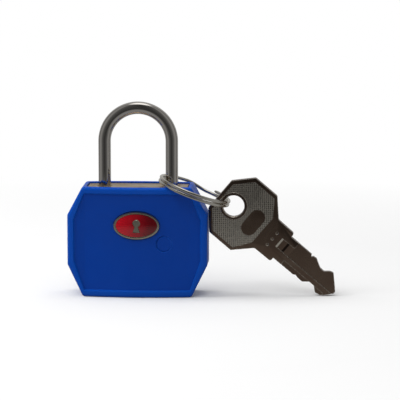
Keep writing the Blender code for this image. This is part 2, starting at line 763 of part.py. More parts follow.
def make_wafer_spring(index, steel):
    """The little spring beside a wafer, which pushes on its arm."""
    z, side = wafer_height(index), wafer_side(index)
    x = side * (WAFER_HALF_WIDTH + 0.2 * MM + WAFER_SPRING_DIAMETER / 2)
    start = Vector((x, WAFER_SPRING_START, z))
    length = WAFER_ARM[0] - SEAT_GAP - WAFER_SPRING_START
    radius = (WAFER_SPRING_DIAMETER - WAFER_SPRING_WIRE) / 2
    shape = coil(start, length, radius, WAFER_SPRING_WIRE, 5, Vector((0, 1, 0)), steps=8, sides=4)
    return smooth(set_origin(add_object(f"wafer_spring_{index + 1}", shape, steel), start), 60)


def make_cam(steel):
    """The driver: a disc with a tongue in the plug's slot and an eccentric pin in the bolt."""
    disc_radius = plug_radius - 0.4 * MM
    disc = turned([(disc_radius, cam_bottom), (disc_radius, cam_top)], sides=28)
    cam = add_object("plug_cam", disc, steel)
    length, width, height = CAM_TONGUE
    pin_place = CAM_PIN_RADIUS * math.sin(PLUG_TURN / 2)
    pin_depth = CAM_PIN_RADIUS * math.cos(PLUG_TURN / 2)
    parts = [
        block((-length / 2, -width / 2, cam_bottom - height),
              (length / 2, width / 2, cam_bottom + CAM_THICKNESS / 2)),
        rod(cam_pin_radius, cam_bottom + CAM_THICKNESS / 2, bolt_z + CAM_PIN_REACH,
            (pin_place, pin_depth), "Z", 16),
    ]
    return smooth(combine(cam, parts, "UNION"))


# ---------------------------------------------------------------- key and ring


def make_ring(nickel):
    """The split ring: two flat turns of wire with a short step between them at the rear."""
    steps, turns = 36, 2
    jog = 0.35
    gap = 0.09
    path = []
    count = steps * turns
    for i in range(count + 1):
        turn = 2 * math.pi * turns * (gap / 2 + (1 - gap) * i / count)
        away = (turn - 2 * math.pi) / jog
        step = 0.5 + 0.5 * math.sin(math.pi / 2 * max(-1.0, min(1.0, away)))
        z = ring_pitch * (step - 0.5)
        angle = math.pi / 2 + turn
        path.append(Vector((
            ring_radius * (1 + math.cos(angle)), ring_radius * math.sin(angle), z,
        )))
    shape = tube(path, [RING_WIRE / 2] * len(path), 8, Vector((0, 0, 1)))
    ring = add_object("key_ring", shape, nickel)
    cross_y = case_half_depth - crown(leg_x) - CASE_EDGE
    drop = (ring_radius - math.sqrt(ring_radius ** 2 - cross_y ** 2)) * math.sin(RING_TILT)
    ring.location = (ring_end_x, 0.0, case_top + SEAT_GAP + ring_half_height + drop)
    ring.rotation_euler = (0.0, RING_TILT, 0.0)
    return smooth(ring, 60)


def key_outline():
    """The key's outline, hole centre at the origin and blade along +x."""
    half = KEY_BLADE_WIDTH / 2
    collar = KEY_COLLAR_WIDTH / 2
    head = KEY_HEAD_WIDTH / 2
    end = KEY_HEAD_END_WIDTH / 2
    low_end = -KEY_HEAD_END
    neck = low_end + KEY_HEAD_LENGTH
    cut = half - KEY_CUT_DEPTH
    start = KEY_SHOULDER
    bits = [
        (6.5, half), (6.8, half - 0.6 * MM), (7.1, half - 0.15 * MM), (8.0, half),
        (9.4, cut + 0.45 * MM), (10.3, cut), (11.4, cut), (12.5, half - 0.3 * MM), (13.4, half),
    ]
    other_bits = [
        (14.5, -half + 0.45 * MM), (13.1, -half + 0.15 * MM), (11.8, -cut), (10.4, -cut),
        (9.0, -half + 0.1 * MM), (7.5, -half + 0.15 * MM), (6.8, -half + 0.35 * MM), (6.2, -half),
    ]
    tip = [(KEY_BLADE_LENGTH, 0.1 * MM), (KEY_BLADE_LENGTH, -0.5 * MM)]
    upper = [
        (low_end, end),
        (low_end + KEY_HEAD_FACET, head),
        (neck - KEY_HEAD_FACET, head),
        (neck, end + 0.2 * MM),
        (start - 0.5 * MM, collar),
        (start, collar - 0.5 * MM),
        (start, half),
    ]
    upper += [(start + x * MM, y) for x, y in bits]
    lower = [(start + x, y) for x, y in tip]
    lower += [(start + x * MM, y) for x, y in other_bits]
    lower += [
        (start, -half),
        (start, -collar),
        (neck, -end - 0.2 * MM),
        (neck - KEY_HEAD_FACET, -head),
        (low_end + KEY_HEAD_FACET, -head),
        (low_end, -end),
    ]
    return upper + lower


def key_cuts():
    """Hole, sunk fields and milled blade faces; the rear face is the front turned over."""
    thick = KEY_THICKNESS / 2
    hole = rod(KEY_HOLE_DIAMETER / 2, -thick - CUT_PAST, thick + CUT_PAST, (0.0, 0.0), "Y", 32)
    head = KEY_HEAD_WIDTH / 2 - KEY_BORDER
    end = KEY_HEAD_END_WIDTH / 2 - KEY_BORDER * 0.5
    low_end = -KEY_HEAD_END + KEY_BORDER
    neck = -KEY_HEAD_END + KEY_HEAD_LENGTH - KEY_BORDER * 1.6
    run = KEY_HEAD_FACET - KEY_BORDER * 0.4
    field = [(low_end, end), (low_end + run, head), (neck - run * 0.75, head), (neck, end)]
    field += [(x, -y) for x, y in reversed(field)]
    rib_low, rib_high = KEY_RIB
    half = KEY_BLADE_WIDTH / 2 + CUT_PAST
    start = KEY_SHOULDER
    tip = start + KEY_BLADE_LENGTH
    land = 1.75 * MM
    run_in = start - 1.7 * MM
    full_cut = start + 2.4 * MM
    upper = [
        (run_in, -0.3 * MM), (full_cut, -rib_low), (tip + CUT_PAST, -rib_low), (tip + CUT_PAST, half),
        (full_cut, half), (full_cut, land), (run_in, land),
    ]
    rib_end = tip - 2.0 * MM
    lower = [
        (full_cut, -half), (rib_end, -half), (rib_end, -rib_high), (full_cut, -rib_high),
    ]
    cuts = [hole]
    for side in (-1, 1):
        field_deep = side * (thick - KEY_FIELD_DEPTH)
        mill_deep = side * (thick - KEY_MILL_DEPTH)
        past = side * (thick + CUT_PAST)
        cuts.append(prism(field, field_deep, past, "Y"))
        for shape in (upper, lower):
            cuts.append(prism([(x, -side * y) for x, y in shape], mill_deep, past, "Y"))
    return cuts


def key_lean(hole_height):
    """The lean that lets the blade's low corner rest just above the floor."""
    corner_x = KEY_SHOULDER + KEY_BLADE_LENGTH - 2.2 * MM
    corner_y = KEY_BLADE_WIDTH / 2 - 0.45 * MM
    reach = math.hypot(corner_x, corner_y)
    fall = min(1.0, (hole_height - KEY_TIP_GAP) / reach)
    return min(KEY_LEAN, math.asin(fall) - math.atan2(corner_y, corner_x))


def make_key(nickel, ring):
    """The key, hung on the ring's outer end."""
    blank = prism(key_outline(), -KEY_THICKNESS / 2, KEY_THICKNESS / 2, "Y")
    key = combine(add_object("key", blank, nickel), key_cuts())
    pivot = bpy.data.objects.new("key_pivot", None)
    bpy.context.scene.collection.objects.link(pivot)
    pivot.parent = ring
    pivot.location = (2 * ring_radius, 0.0, 0.0)
    pivot.rotation_euler = (0.0, -RING_TILT, 0.0)
    offset = key_hang * Vector((math.cos(KEY_HANG_ANGLE), 0.0, math.sin(KEY_HANG_ANGLE)))
    pivot_z = ring.location.z - 2 * ring_radius * math.sin(RING_TILT)
    key.parent = pivot
    key.location = offset
    key.rotation_euler = (0.0, key_lean(pivot_z + offset.z - case_bottom), 0.0)
    return smooth(key, 25)


# ---------------------------------------------------------------- assembly


def build():
    """Make every piece of the padlock."""
    for old in list(bpy.data.objects):
        bpy.data.objects.remove(old)
    plastic = material("blue moulded plastic", (0.003, 0.04, 0.25), 0.0, 0.35)
    brass = material("drawn brass", (0.62, 0.48, 0.24), 1.0, 0.32)
    nickel = material("polished nickel", (0.62, 0.6, 0.57), 1.0, 0.15)
    steel = material("zinc-plated steel", (0.5, 0.5, 0.52), 1.0, 0.35)
    zinc = material("die-cast zinc", (0.55, 0.54, 0.52), 1.0, 0.4)
    badge_metal = material("badge metal", (0.55, 0.5, 0.36), 1.0, 0.25)
    enamel = material("red enamel", (0.45, 0.005, 0.01), 0.0, 0.15)

    make_lock_body(brass)
    make_front_cover(plastic)
    smooth(make_case_half("rear_cover", 1, plastic), 25)
    make_badge(badge_metal, enamel)
    make_shackle(nickel)
    make_shackle_spring(steel)
    cross_pin("shackle_pin", heel_pin_x, heel_pin_z, heel_pin_radius, steel)
    make_bolt(steel)
    make_bolt_spring(steel)
    make_bore_plug(brass)
    make_plug(zinc)
    make_cam(steel)
    cross_pin("plug_pin", plug_pin_x, plug_pin_z, PLUG_PIN_DIAMETER / 2, steel)
    for index in range(WAFER_COUNT):
        make_wafer(index, brass)
        make_wafer_spring(index, steel)
    ring = make_ring(nickel)
    make_key(nickel, ring)


build()
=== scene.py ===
import json
import math

import bmesh
import bpy
from mathutils import Matrix, Vector


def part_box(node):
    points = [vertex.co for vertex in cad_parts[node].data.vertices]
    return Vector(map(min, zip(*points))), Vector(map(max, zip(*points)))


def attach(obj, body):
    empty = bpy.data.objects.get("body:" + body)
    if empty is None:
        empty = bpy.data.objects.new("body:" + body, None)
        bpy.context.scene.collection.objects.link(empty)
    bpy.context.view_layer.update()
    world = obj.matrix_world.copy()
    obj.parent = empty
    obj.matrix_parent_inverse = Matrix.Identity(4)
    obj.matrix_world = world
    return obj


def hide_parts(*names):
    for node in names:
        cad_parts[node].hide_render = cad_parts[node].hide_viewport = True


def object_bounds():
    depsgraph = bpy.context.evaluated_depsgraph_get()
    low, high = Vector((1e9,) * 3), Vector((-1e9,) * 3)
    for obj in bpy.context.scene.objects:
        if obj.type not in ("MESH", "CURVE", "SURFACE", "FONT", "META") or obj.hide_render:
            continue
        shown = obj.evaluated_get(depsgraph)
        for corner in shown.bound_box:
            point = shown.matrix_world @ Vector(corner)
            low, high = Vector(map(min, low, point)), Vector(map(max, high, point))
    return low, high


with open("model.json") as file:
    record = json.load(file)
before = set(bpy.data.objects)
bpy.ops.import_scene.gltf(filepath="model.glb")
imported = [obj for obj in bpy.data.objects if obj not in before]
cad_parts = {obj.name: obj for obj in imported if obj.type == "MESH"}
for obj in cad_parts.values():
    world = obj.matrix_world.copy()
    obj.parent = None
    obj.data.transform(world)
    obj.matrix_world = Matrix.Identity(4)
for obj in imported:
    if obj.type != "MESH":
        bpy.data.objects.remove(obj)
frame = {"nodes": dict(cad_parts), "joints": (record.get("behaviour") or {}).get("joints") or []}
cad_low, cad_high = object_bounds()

mm = 0.001

# ------------------------------------------------------------------ lock body
# The brass block that holds the works: sawn from bowed bar, with drilled bores for the two
# shackle legs, the bolt and the plug. The case closes round it; only its top shows.

body_low, body_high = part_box("lock_body")
shackle_low, shackle_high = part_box("shackle")
plug_low, plug_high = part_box("key_plug")
bolt_low, bolt_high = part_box("locking_bolt")
spring_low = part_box("shackle_spring")[0]

rod_radius = (shackle_high.y - shackle_low.y) / 2
leg_x = shackle_high.x - rod_radius
slide_gap = 0.15 * mm
leg_bore_radius = rod_radius + slide_gap
plug_radius = (plug_high.x - plug_low.x) / 2
plug_bore_radius = plug_radius + slide_gap
bolt_radius = (bolt_high.y - bolt_low.y) / 2
bolt_z = (bolt_low.z + bolt_high.z) / 2
notch_gap, toe_below_notch, toe_spare = 0.3 * mm, 1.5 * mm, 1.0 * mm
toe_z = bolt_z - bolt_radius - notch_gap - toe_below_notch
past = 2 * mm
face_crown = 80 * mm


def crown(x):
    """How far the bowed front or rear face falls back at x from its middle."""
    return face_crown - math.sqrt(face_crown ** 2 - x * x)


def skin(rows, closed=False):
    """Faces between loops of points; an open skin gets a flat end at each end."""
    shape = bmesh.new()
    loops = [[shape.verts.new(point) for point in row] for row in rows]
    count = len(loops[0])
    pairs = list(zip(loops, loops[1:]))
    if closed:
        pairs.append((loops[-1], loops[0]))
    for low, high in pairs:
        for i in range(count):
            j = (i + 1) % count
            shape.faces.new((low[i], low[j], high[j], high[i]))
    if not closed:
        shape.faces.new(loops[0][::-1])
        shape.faces.new(loops[-1])
    return shape


def round_points(radius, sides, centre=(0.0, 0.0)):
    """Points round a circle in a plane."""
    turn = 2 * math.pi / sides
    return [
        (centre[0] + radius * math.cos(turn * i), centre[1] + radius * math.sin(turn * i))
        for i in range(sides)
    ]


def lay(points, height, axis="Z"):
    """Flat points set across an axis at a height along it."""
    if axis == "Z":
        return [(u, v, height) for u, v in points]
    if axis == "Y":
        return [(u, height, v) for u, v in points]
    return [(height, u, v) for u, v in points]


def bore(profile, centre, axis="Z", sides=64):
    """A round solid from (radius, place along the axis) pairs."""
    return skin([lay(round_points(radius, sides, centre), at, axis) for radius, at in profile])


def brick(low, high):
    """A plain cutter between two corners."""
    corners = ((low[0], low[1]), (high[0], low[1]), (high[0], high[1]), (low[0], high[1]))
    return skin([lay(corners, low[2]), lay(corners, high[2])])


def solid(name, shape):
    """Turn a shape into an object with its faces pointing out."""
    bmesh.ops.recalc_face_normals(shape, faces=shape.faces)
    mesh = bpy.data.meshes.new(name)
    shape.to_mesh(mesh)
    shape.free()
    made = bpy.data.objects.new(name, mesh)
    bpy.context.scene.collection.objects.link(made)
    return made


def carve(piece, shapes, operation="DIFFERENCE"):
    """Cut shapes out of a piece, or join them to it, one after the other."""
    for shape in shapes:
        tool = solid("tool", shape)
        step = piece.modifiers.new(operation.title(), "BOOLEAN")
        step.operation = operation
        step.solver = "EXACT"
        step.object = tool
        graph = bpy.context.evaluated_depsgraph_get()
        worked = bpy.data.meshes.new_from_object(piece.evaluated_get(graph))
        piece.modifiers.clear()
        piece.data = worked
        bpy.data.objects.remove(tool)
    return piece


def finish_piece(piece, finish, body, node_name, edge=32):
    """Shade a piece, give it its finish and let it stand for its CAD node."""
    piece.data.materials.clear()
    piece.data.materials.append(finish)
    piece.data.polygons.foreach_set("material_index", [0] * len(piece.data.polygons))
    piece.data.shade_smooth()
    piece.data.set_sharp_from_angle(angle=math.radians(edge))
    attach(piece, body)
    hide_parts(node_name)
    return piece


def bowed_slab(half_width, half_depth, steps=28, corner=0.0):
    """The plan of a slab whose front and rear are bowed."""
    reach = half_width - corner
    places = [reach * (2 * i / steps - 1) for i in range(steps + 1)]
    front = [(x, crown(x) - half_depth) for x in places]
    if corner:
        edge = crown(half_width) - half_depth + corner
        front = [(-half_width, edge), *front, (half_width, edge)]
    return front + [(x, -y) for x, y in reversed(front)]


body_half_width = (body_high.x - body_low.x) / 2
body_half_depth = (body_high.y - body_low.y) / 2
step_width, step_height = 0.7 * mm, 1.4 * mm
break_edge = 0.15 * mm
heel_bore_end = spring_low.z - slide_gap
toe_bore_end = toe_z - toe_spare
bolt_end_wall = 0.5 * mm
bolt_bore_end = leg_x - leg_bore_radius - bolt_end_wall


def make_lock_body():
    """The block, its stepped shoulders, and its bores with chamfered mouths."""
    low, high = body_low.z, body_high.z
    size = (body_half_width, body_half_depth)
    plan = bowed_slab(*size, corner=0.4 * mm)
    small = bowed_slab(size[0] - break_edge, size[1] - break_edge, corner=0.3 * mm)
    block = solid("lock_body_block", skin([
        lay(small, low), lay(plan, low + break_edge),
        lay(plan, high - break_edge), lay(small, high),
    ]))
    deep = body_half_depth + past
    land = body_half_width - step_width
    cuts = [
        brick((left, -deep, -step_height), (left + step_width + past, deep, past))
        for left in (-body_half_width - past, land)
    ]
    mouth = 0.25 * mm
    for x, end in ((-leg_x, toe_bore_end), (leg_x, heel_bore_end)):
        radius = leg_bore_radius
        cuts.append(bore([(radius, end), (radius, -mouth), (radius + mouth, 0.0),
                          (radius + mouth + past, past)], (x, 0.0)))
    radius = plug_bore_radius
    cuts.append(bore([(radius + mouth + past, low - past), (radius + mouth, low),
                      (radius, low + mouth), (radius, bolt_z - bolt_radius)], (0.0, 0.0)))
    radius = bolt_radius + slide_gap
    cuts.append(bore([(radius, -body_half_width - past), (radius, bolt_bore_end)],
                     (0.0, bolt_z), "X", 40))
    return carve(block, cuts)


def new_group(name, inputs, outputs):
    """A shader node group that takes a Vector and numbers with defaults, and gives numbers."""
    tree = bpy.data.node_groups.new(name, "ShaderNodeTree")
    sockets = tree.interface
    sockets.new_socket("Vector", in_out="INPUT", socket_type="NodeSocketVector")
    for label, value in inputs.items():
        socket = sockets.new_socket(label, in_out="INPUT", socket_type="NodeSocketFloat")
        socket.default_value = value
    for label in outputs:
        sockets.new_socket(label, in_out="OUTPUT", socket_type="NodeSocketFloat")
    return tree, tree.nodes.new("NodeGroupInput"), tree.nodes.new("NodeGroupOutput")


def node(tree, kind, *sources, **values):
    """A node with its settings and its input values by socket name or number. The sources,
    sockets or nodes, feed its first inputs in order; None leaves an input as it is."""
    new = tree.nodes.new("ShaderNode" + kind)
    for key, value in values.items():
        if key.startswith("in_"):
            label = key[3:]
            place = int(label) if label.isdigit() else label.replace("_", " ")
            new.inputs[place].default_value = value
        else:
            setattr(new, key, value)
    for source, socket in zip(sources, new.inputs):
        if source is not None:
            tree.links.new(getattr(source, "outputs", [source])[0], socket)
    return new


def hairline_group():
    """Fine hairline scratches in two crossing directions, drawn in the piece's own space."""
    tree, enter, leave = new_group("hairlines", {"Fineness": 900.0, "Stretch": 0.06},
                                   ("Height", "Mask"))
    link = tree.links.new
    fine = []
    for turn, seed in ((0.35, 1.7), (-0.6, 5.3)):
        turned = node(tree, "VectorRotate", enter.outputs["Vector"], rotation_type="EULER_XYZ",
                      in_Rotation=(turn, turn * 0.7, turn))
        squeeze = node(tree, "CombineXYZ", enter.outputs["Stretch"], in_Y=1.0, in_Z=1.0)
        drawn = node(tree, "VectorMath", turned, squeeze, operation="MULTIPLY")
        lines = node(tree, "TexNoise", drawn, noise_dimensions="4D", in_W=seed, in_Detail=3.0,
                     in_Roughness=0.65)
        link(enter.outputs["Fineness"], lines.inputs["Scale"])
        fine.append(lines)
    both = node(tree, "Math", *fine, operation="ADD")
    half = node(tree, "Math", both, operation="MULTIPLY", in_1=0.5)
    sharp = node(tree, "MapRange", half, in_From_Min=0.56, in_From_Max=0.68)
    link(half.outputs[0], leave.inputs["Height"])
    link(sharp.outputs[0], leave.inputs["Mask"])
    return tree


def handling_group():
    """Soft smudges and cloudy patches from handling; gives a roughness and a mask."""
    tree, enter, leave = new_group(
        "handling marks", {"Size": 140.0, "Clean": 0.2, "Marked": 0.35}, ("Roughness", "Mask"))
    link = tree.links.new
    cloud = node(tree, "TexNoise", enter.outputs["Vector"], in_Detail=5.0, in_Roughness=0.6,
                 in_Distortion=0.4)
    link(enter.outputs["Size"], cloud.inputs["Scale"])
    mask = node(tree, "MapRange", cloud, in_From_Min=0.38, in_From_Max=0.66)
    rough = node(tree, "MapRange", mask)
    link(enter.outputs["Clean"], rough.inputs["To Min"])
    link(enter.outputs["Marked"], rough.inputs["To Max"])
    link(rough.outputs[0], leave.inputs["Roughness"])
    link(mask.outputs[0], leave.inputs["Mask"])
    return tree


def rubbed_and_lit_edge_group():
    """A mask of the outer edges, broken up by a fine noise: rubbed wear on the metal parts, a
    painted highlight on the plastic case.
    """
    tree, enter, leave = new_group("rubbed and lit edges", {"Width": 0.15 * mm, "Breakup": 1200.0},
                                   ("Mask",))
    link = tree.links.new
    rounded = node(tree, "Bevel", enter.outputs["Width"], samples=4)
    facing = node(tree, "NewGeometry")
    near = node(tree, "VectorMath", rounded, facing.outputs["Normal"], operation="DOT_PRODUCT")
    edge = node(tree, "MapRange", near.outputs["Value"], in_From_Min=0.995, in_From_Max=0.86)
    grain = node(tree, "TexNoise", enter.outputs["Vector"], in_Detail=4.0, in_Roughness=0.7)
    link(enter.outputs["Breakup"], grain.inputs["Scale"])
    broken = node(tree, "MapRange", grain, in_From_Min=0.3, in_From_Max=0.6)
    worn = node(tree, "Math", edge, broken, operation="MULTIPLY")
    link(worn.outputs[0], leave.inputs["Mask"])
    return tree


hairlines = hairline_group()
handling = handling_group()
rubbed_and_lit_edges = rubbed_and_lit_edge_group()


def place_group(tree, group, vector, **values):
    """The group in a finish, fed by the piece's own coordinates."""
    placed = tree.nodes.new("ShaderNodeGroup")
    placed.node_tree = group
    tree.links.new(vector, placed.inputs["Vector"])
    for key, value in values.items():
        placed.inputs[key].default_value = value
    return placed


def new_finish(name):
    """An empty finish: its node tree, its Principled shader and its coordinates."""
    finish = bpy.data.materials.new(name)
    finish.use_nodes = True
    tree = finish.node_tree
    own = tree.nodes.new("ShaderNodeTexCoord").outputs["Object"]
    return finish, tree, tree.nodes["Principled BSDF"], own


def blend(tree, share, first, second, how="MIX"):
    """A colour that goes from the first, a socket or three numbers, to the second, three
    numbers, as the share goes from 0 to 1."""
    mix = node(tree, "Mix", share, data_type="RGBA", blend_type=how)
    from_colour, to_colour = mix.inputs[6], mix.inputs[7]
    if isinstance(first, tuple):
        from_colour.default_value = (*first, 1.0)
    else:
        tree.links.new(first, from_colour)
    to_colour.default_value = (*second, 1.0)
    return mix.outputs[2]


def feed_shader(tree, shader, tone, marks, height, depth, metallic=1.0):
    """Give a shader its colour, the roughness of its handling marks and a fine relief."""
    link = tree.links.new
    link(tone, shader.inputs["Base Color"])
    shader.inputs["Metallic"].default_value = metallic
    link(marks.outputs["Roughness"], shader.inputs["Roughness"])
    relief = node(tree, "Bump", in_Strength=1.0, in_Distance=depth)
    link(height, relief.inputs["Height"])
    link(relief.outputs[0], shader.inputs["Normal"])


brass, brass_tree, brass_shader, brass_own = new_finish("sawn brass")
saw = place_group(brass_tree, hairlines, brass_own, Fineness=1500.0, Stretch=0.03)
dull = place_group(brass_tree, handling, brass_own, Size=220.0, Clean=0.3, Marked=0.46)
rubbed = place_group(brass_tree, rubbed_and_lit_edges, brass_own, Width=0.2 * mm)
tarnish = blend(brass_tree, dull.outputs["Mask"], (0.63, 0.49, 0.3), (0.5, 0.37, 0.2))
bright = blend(brass_tree, rubbed, tarnish, (0.78, 0.66, 0.42))
feed_shader(brass_tree, brass_shader, bright, dull, saw.outputs["Height"], 0.01 * mm)

finish_piece(make_lock_body(), brass, "case", "lock_body")

# ------------------------------------------------------------------ case
# Two injection-moulded halves in deep blue plastic, pegged together round the brass block.
# Each face is bowed, with a raised rim round a sunk panel; a round hole below takes the key.

case_low, case_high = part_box("front_cover")
case_half_width = (case_high.x - case_low.x) / 2
case_half_depth = -case_low.y
case_bottom, case_top = case_low.z, case_high.z
parting = 0.075 * mm
corner_run, top_rise, bottom_rise = 3.75 * mm, 7.0 * mm, 7.6 * mm
corner_radius = 0.9 * mm
edge_radius = 0.7 * mm
rim_width, panel_depth = 1.5 * mm, 0.5 * mm
case_floor = 1.0 * mm
seat_gap = 0.15 * mm


def filleted(corners, radius, steps=6):
    """Round each corner of a convex outline; gives one list of points per corner."""
    rounded = []
    count = len(corners)
    for i, corner in enumerate(corners):
        here = Vector(corner)
        before = (Vector(corners[i - 1]) - here).normalized()
        after = (Vector(corners[(i + 1) % count]) - here).normalized()
        half = before.angle(after) / 2
        reach = radius / math.tan(half)
        middle = here + (before + after).normalized() * radius / math.sin(half)
        start = here + before * reach - middle
        sweep = start.angle_signed(here + after * reach - middle)
        turns = [Matrix.Rotation(-sweep * k / steps, 2) for k in range(steps + 1)]
        rounded.append([tuple(middle + turn @ start) for turn in turns])
    return rounded


def case_loop(inset, steps=24):
    """The case outline moved in by inset: the upper edge left to right, then the lower back."""
    side = case_half_width - inset
    right = []
    for edge, rise, sign in ((case_bottom, bottom_rise, -1), (case_top, top_rise, 1)):
        slant = math.hypot(corner_run, rise)
        flat_end = case_half_width - corner_run - inset * (slant - rise) / corner_run
        side_end = edge - sign * (rise + inset * (slant - corner_run) / rise)
        right.append([(flat_end, edge - sign * inset), (side, side_end)])
    outline = right[0] + right[1][::-1]
    outline += [(-x, z) for x, z in reversed(outline)]
    corners = filleted(outline, max(corner_radius - inset * 0.3, 0.3 * mm))
    upper = [point for corner in (5, 4, 3, 2) for point in reversed(corners[corner])]
    lower = [point for corner in (6, 7, 0, 1) for point in corners[corner]]
    loop = []
    for chain in (upper, lower):
        half = len(chain) // 2
        left, right_end = Vector(chain[half - 1]), Vector(chain[half])
        between = [tuple(left.lerp(right_end, i / steps)) for i in range(1, steps)]
        loop.append(chain[:half] + between + chain[half:])
    return loop[0] + loop[1][::-1]


def case_profile():
    """(inset, depth) pairs from the parting line round the edge, over the rim to the panel."""
    depth = case_half_depth
    levels = [(0.1 * mm, None), (0.0, None)]
    arcs = 6
    for k in range(arcs + 1):
        turn = math.pi / 2 * k / arcs
        levels.append((edge_radius * (1 - math.cos(turn)),
                       depth - edge_radius * (1 - math.sin(turn))))
    step = ((-0.12, 0.0), (-0.04, 0.02), (0.03, 0.08), (0.08, 0.16), (0.17, 0.4), (0.23, 0.47),
            (0.34, 0.5))
    levels += [(rim_width + inset * mm, depth - drop * mm) for inset, drop in step]
    return levels


badge_low, badge_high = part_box("badge_plate")
badge_z = (badge_low.z + badge_high.z) / 2
badge_half = ((badge_high.x - badge_low.x) / 2, (badge_high.z - badge_low.z) / 2)
panel_y = -(case_half_depth - panel_depth)
spot = (6.6 * mm, -13.25 * mm)
spot_radius, spot_line, spot_depth = 2.05 * mm, 0.45 * mm, 0.25 * mm
peg_radius, peg_length, peg_from_side = 0.75 * mm, 2.2 * mm, 2.1 * mm
peg_rises, peg_tip = (9.3 * mm, 18.0 * mm), 0.2 * mm


def oval(half_width, half_height, sides=96):
    """Points of an upright oval at the badge's place."""
    return [(x * half_width, badge_z + z * half_height) for x, z in round_points(1.0, sides)]


def make_case_half(name, side):
    """One half; side is -1 for the front and 1 for the rear."""
    shape = bmesh.new()
    rows = []
    for level, (inset, depth) in enumerate(case_profile()):
        row = []
        for x, z in case_loop(inset):
            y = parting + (0.1 * mm if level else 0.0) if depth is None else depth - crown(x)
            row.append(shape.verts.new((x, side * y, z)))
        rows.append(row)
    count = len(rows[0])
    for low, high in zip(rows, rows[1:]):
        for i in range(count):
            j = (i + 1) % count
            shape.faces.new((low[i], low[j], high[j], high[i]))
    shape.faces.new(rows[0])
    panel = rows[-1]
    for i in range(count // 2 - 1):
        shape.faces.new((panel[i], panel[i + 1], panel[count - 2 - i], panel[count - 1 - i]))
    case = solid(name, shape)

    cavity_floor = case_bottom + case_floor
    window = (body_half_width - step_width + 0.25 * mm, body_half_depth + 0.25 * mm)
    lip = 0.18 * mm
    hole = plug_bore_radius + 0.35 * mm
    cavity = bowed_slab(body_half_width + seat_gap, body_half_depth + seat_gap)
    cuts = [
        skin([lay(cavity, cavity_floor), lay(cavity, seat_gap - step_height)]),
        skin([
            lay(bowed_slab(window[0] + grow, window[1] + grow), z)
            for grow, z in ((0.0, -step_height - 0.5 * mm), (0.0, case_top - lip), (lip, case_top),
                            (lip, case_top + past))
        ]),
        bore([(hole + lip, case_bottom - past), (hole + lip, case_bottom),
              (hole, case_bottom + lip), (hole, cavity_floor + 0.2 * mm)], (0.0, 0.0), sides=96),
    ]
    carve(case, cuts)
    pegs = [
        (x, case_bottom + rise)
        for x in (peg_from_side - case_half_width, case_half_width - peg_from_side)
        for rise in peg_rises
    ]
    if side < 0:
        wide = peg_radius + slide_gap
        profile = [(wide, -peg_length - peg_tip), (wide, past)]
    else:
        profile = [(peg_radius - peg_tip, -peg_length), (peg_radius, -peg_length + peg_tip),
                   (peg_radius, past)]
    return carve(case, [bore(profile, at, "Y", 32) for at in pegs],
                 "DIFFERENCE" if side < 0 else "UNION")


def mark_front(case):
    """The oval seat for the badge and the small round sunk line beside it."""
    grow = 0.2 * mm
    lip = 0.08 * mm
    seat = [
        lay(oval(badge_half[0] + grow + more, badge_half[1] + grow + more), y, "Y")
        for more, y in ((0.0, panel_y + 0.4 * mm), (0.0, panel_y + lip), (lip, panel_y),
                        (lip, panel_y - past))
    ]
    top = panel_y + crown(spot[0])
    over, slope = -0.02 * mm, spot_depth * 0.7
    profile = [(0.0, -past), (0.0, over), (0.05 * mm, slope), (0.12 * mm, spot_depth),
               (0.33 * mm, spot_depth), (0.4 * mm, slope), (spot_line, over), (spot_line, -past)]
    groove = [
        lay(round_points(spot_radius - inset, 96, spot), top + depth, "Y")
        for inset, depth in profile
    ]
    return carve(case, [skin(seat), skin(groove, closed=True)])


plastic, plastic_tree, plastic_shader, plastic_own = new_finish("blue moulded plastic")
fine_grain = node(plastic_tree, "TexNoise", plastic_own, in_Scale=5200.0, in_Detail=2.0,
                  in_Roughness=0.5)
flow = node(plastic_tree, "TexNoise", plastic_own, in_Scale=90.0, in_Detail=3.0,
            in_Distortion=1.2)
shine = place_group(plastic_tree, handling, plastic_own, Size=120.0, Clean=0.3, Marked=0.4)
# The case's outer edges are lightened to a paler blue along a broken edge mask: a painted
# highlight on the rims and bevels.
edge_highlight = place_group(plastic_tree, rubbed_and_lit_edges, plastic_own, Width=0.25 * mm, Breakup=900.0)
flow_tone = blend(plastic_tree, flow, (0.0, 0.056, 0.37), (0.0004, 0.066, 0.42))

# The sunk panel is painted a little darker than the rim: painted shade in the recess. It is found
# by its depth behind the bowed face, on surfaces that look to the front or the rear.
face = node(plastic_tree, "SeparateXYZ", plastic_own)
bow = node(plastic_tree, "Math", face.outputs["X"], face.outputs["X"], operation="MULTIPLY")
fore = node(plastic_tree, "Math", face.outputs["Y"], operation="ABSOLUTE")
unbowed = node(plastic_tree, "Math", bow, None, fore, operation="MULTIPLY_ADD",
               in_1=0.5 / face_crown)
sunk = node(plastic_tree, "MapRange", unbowed, in_From_Min=case_half_depth - 0.1 * mm,
            in_From_Max=case_half_depth - 0.45 * mm)
facing = node(plastic_tree, "NewGeometry")
normal = node(plastic_tree, "SeparateXYZ", facing.outputs["True Normal"])
flatness = node(plastic_tree, "Math", normal.outputs["Y"], operation="ABSOLUTE")
flat = node(plastic_tree, "Math", flatness, operation="GREATER_THAN", in_1=0.85)
panel = node(plastic_tree, "Math", sunk, flat, operation="MULTIPLY")
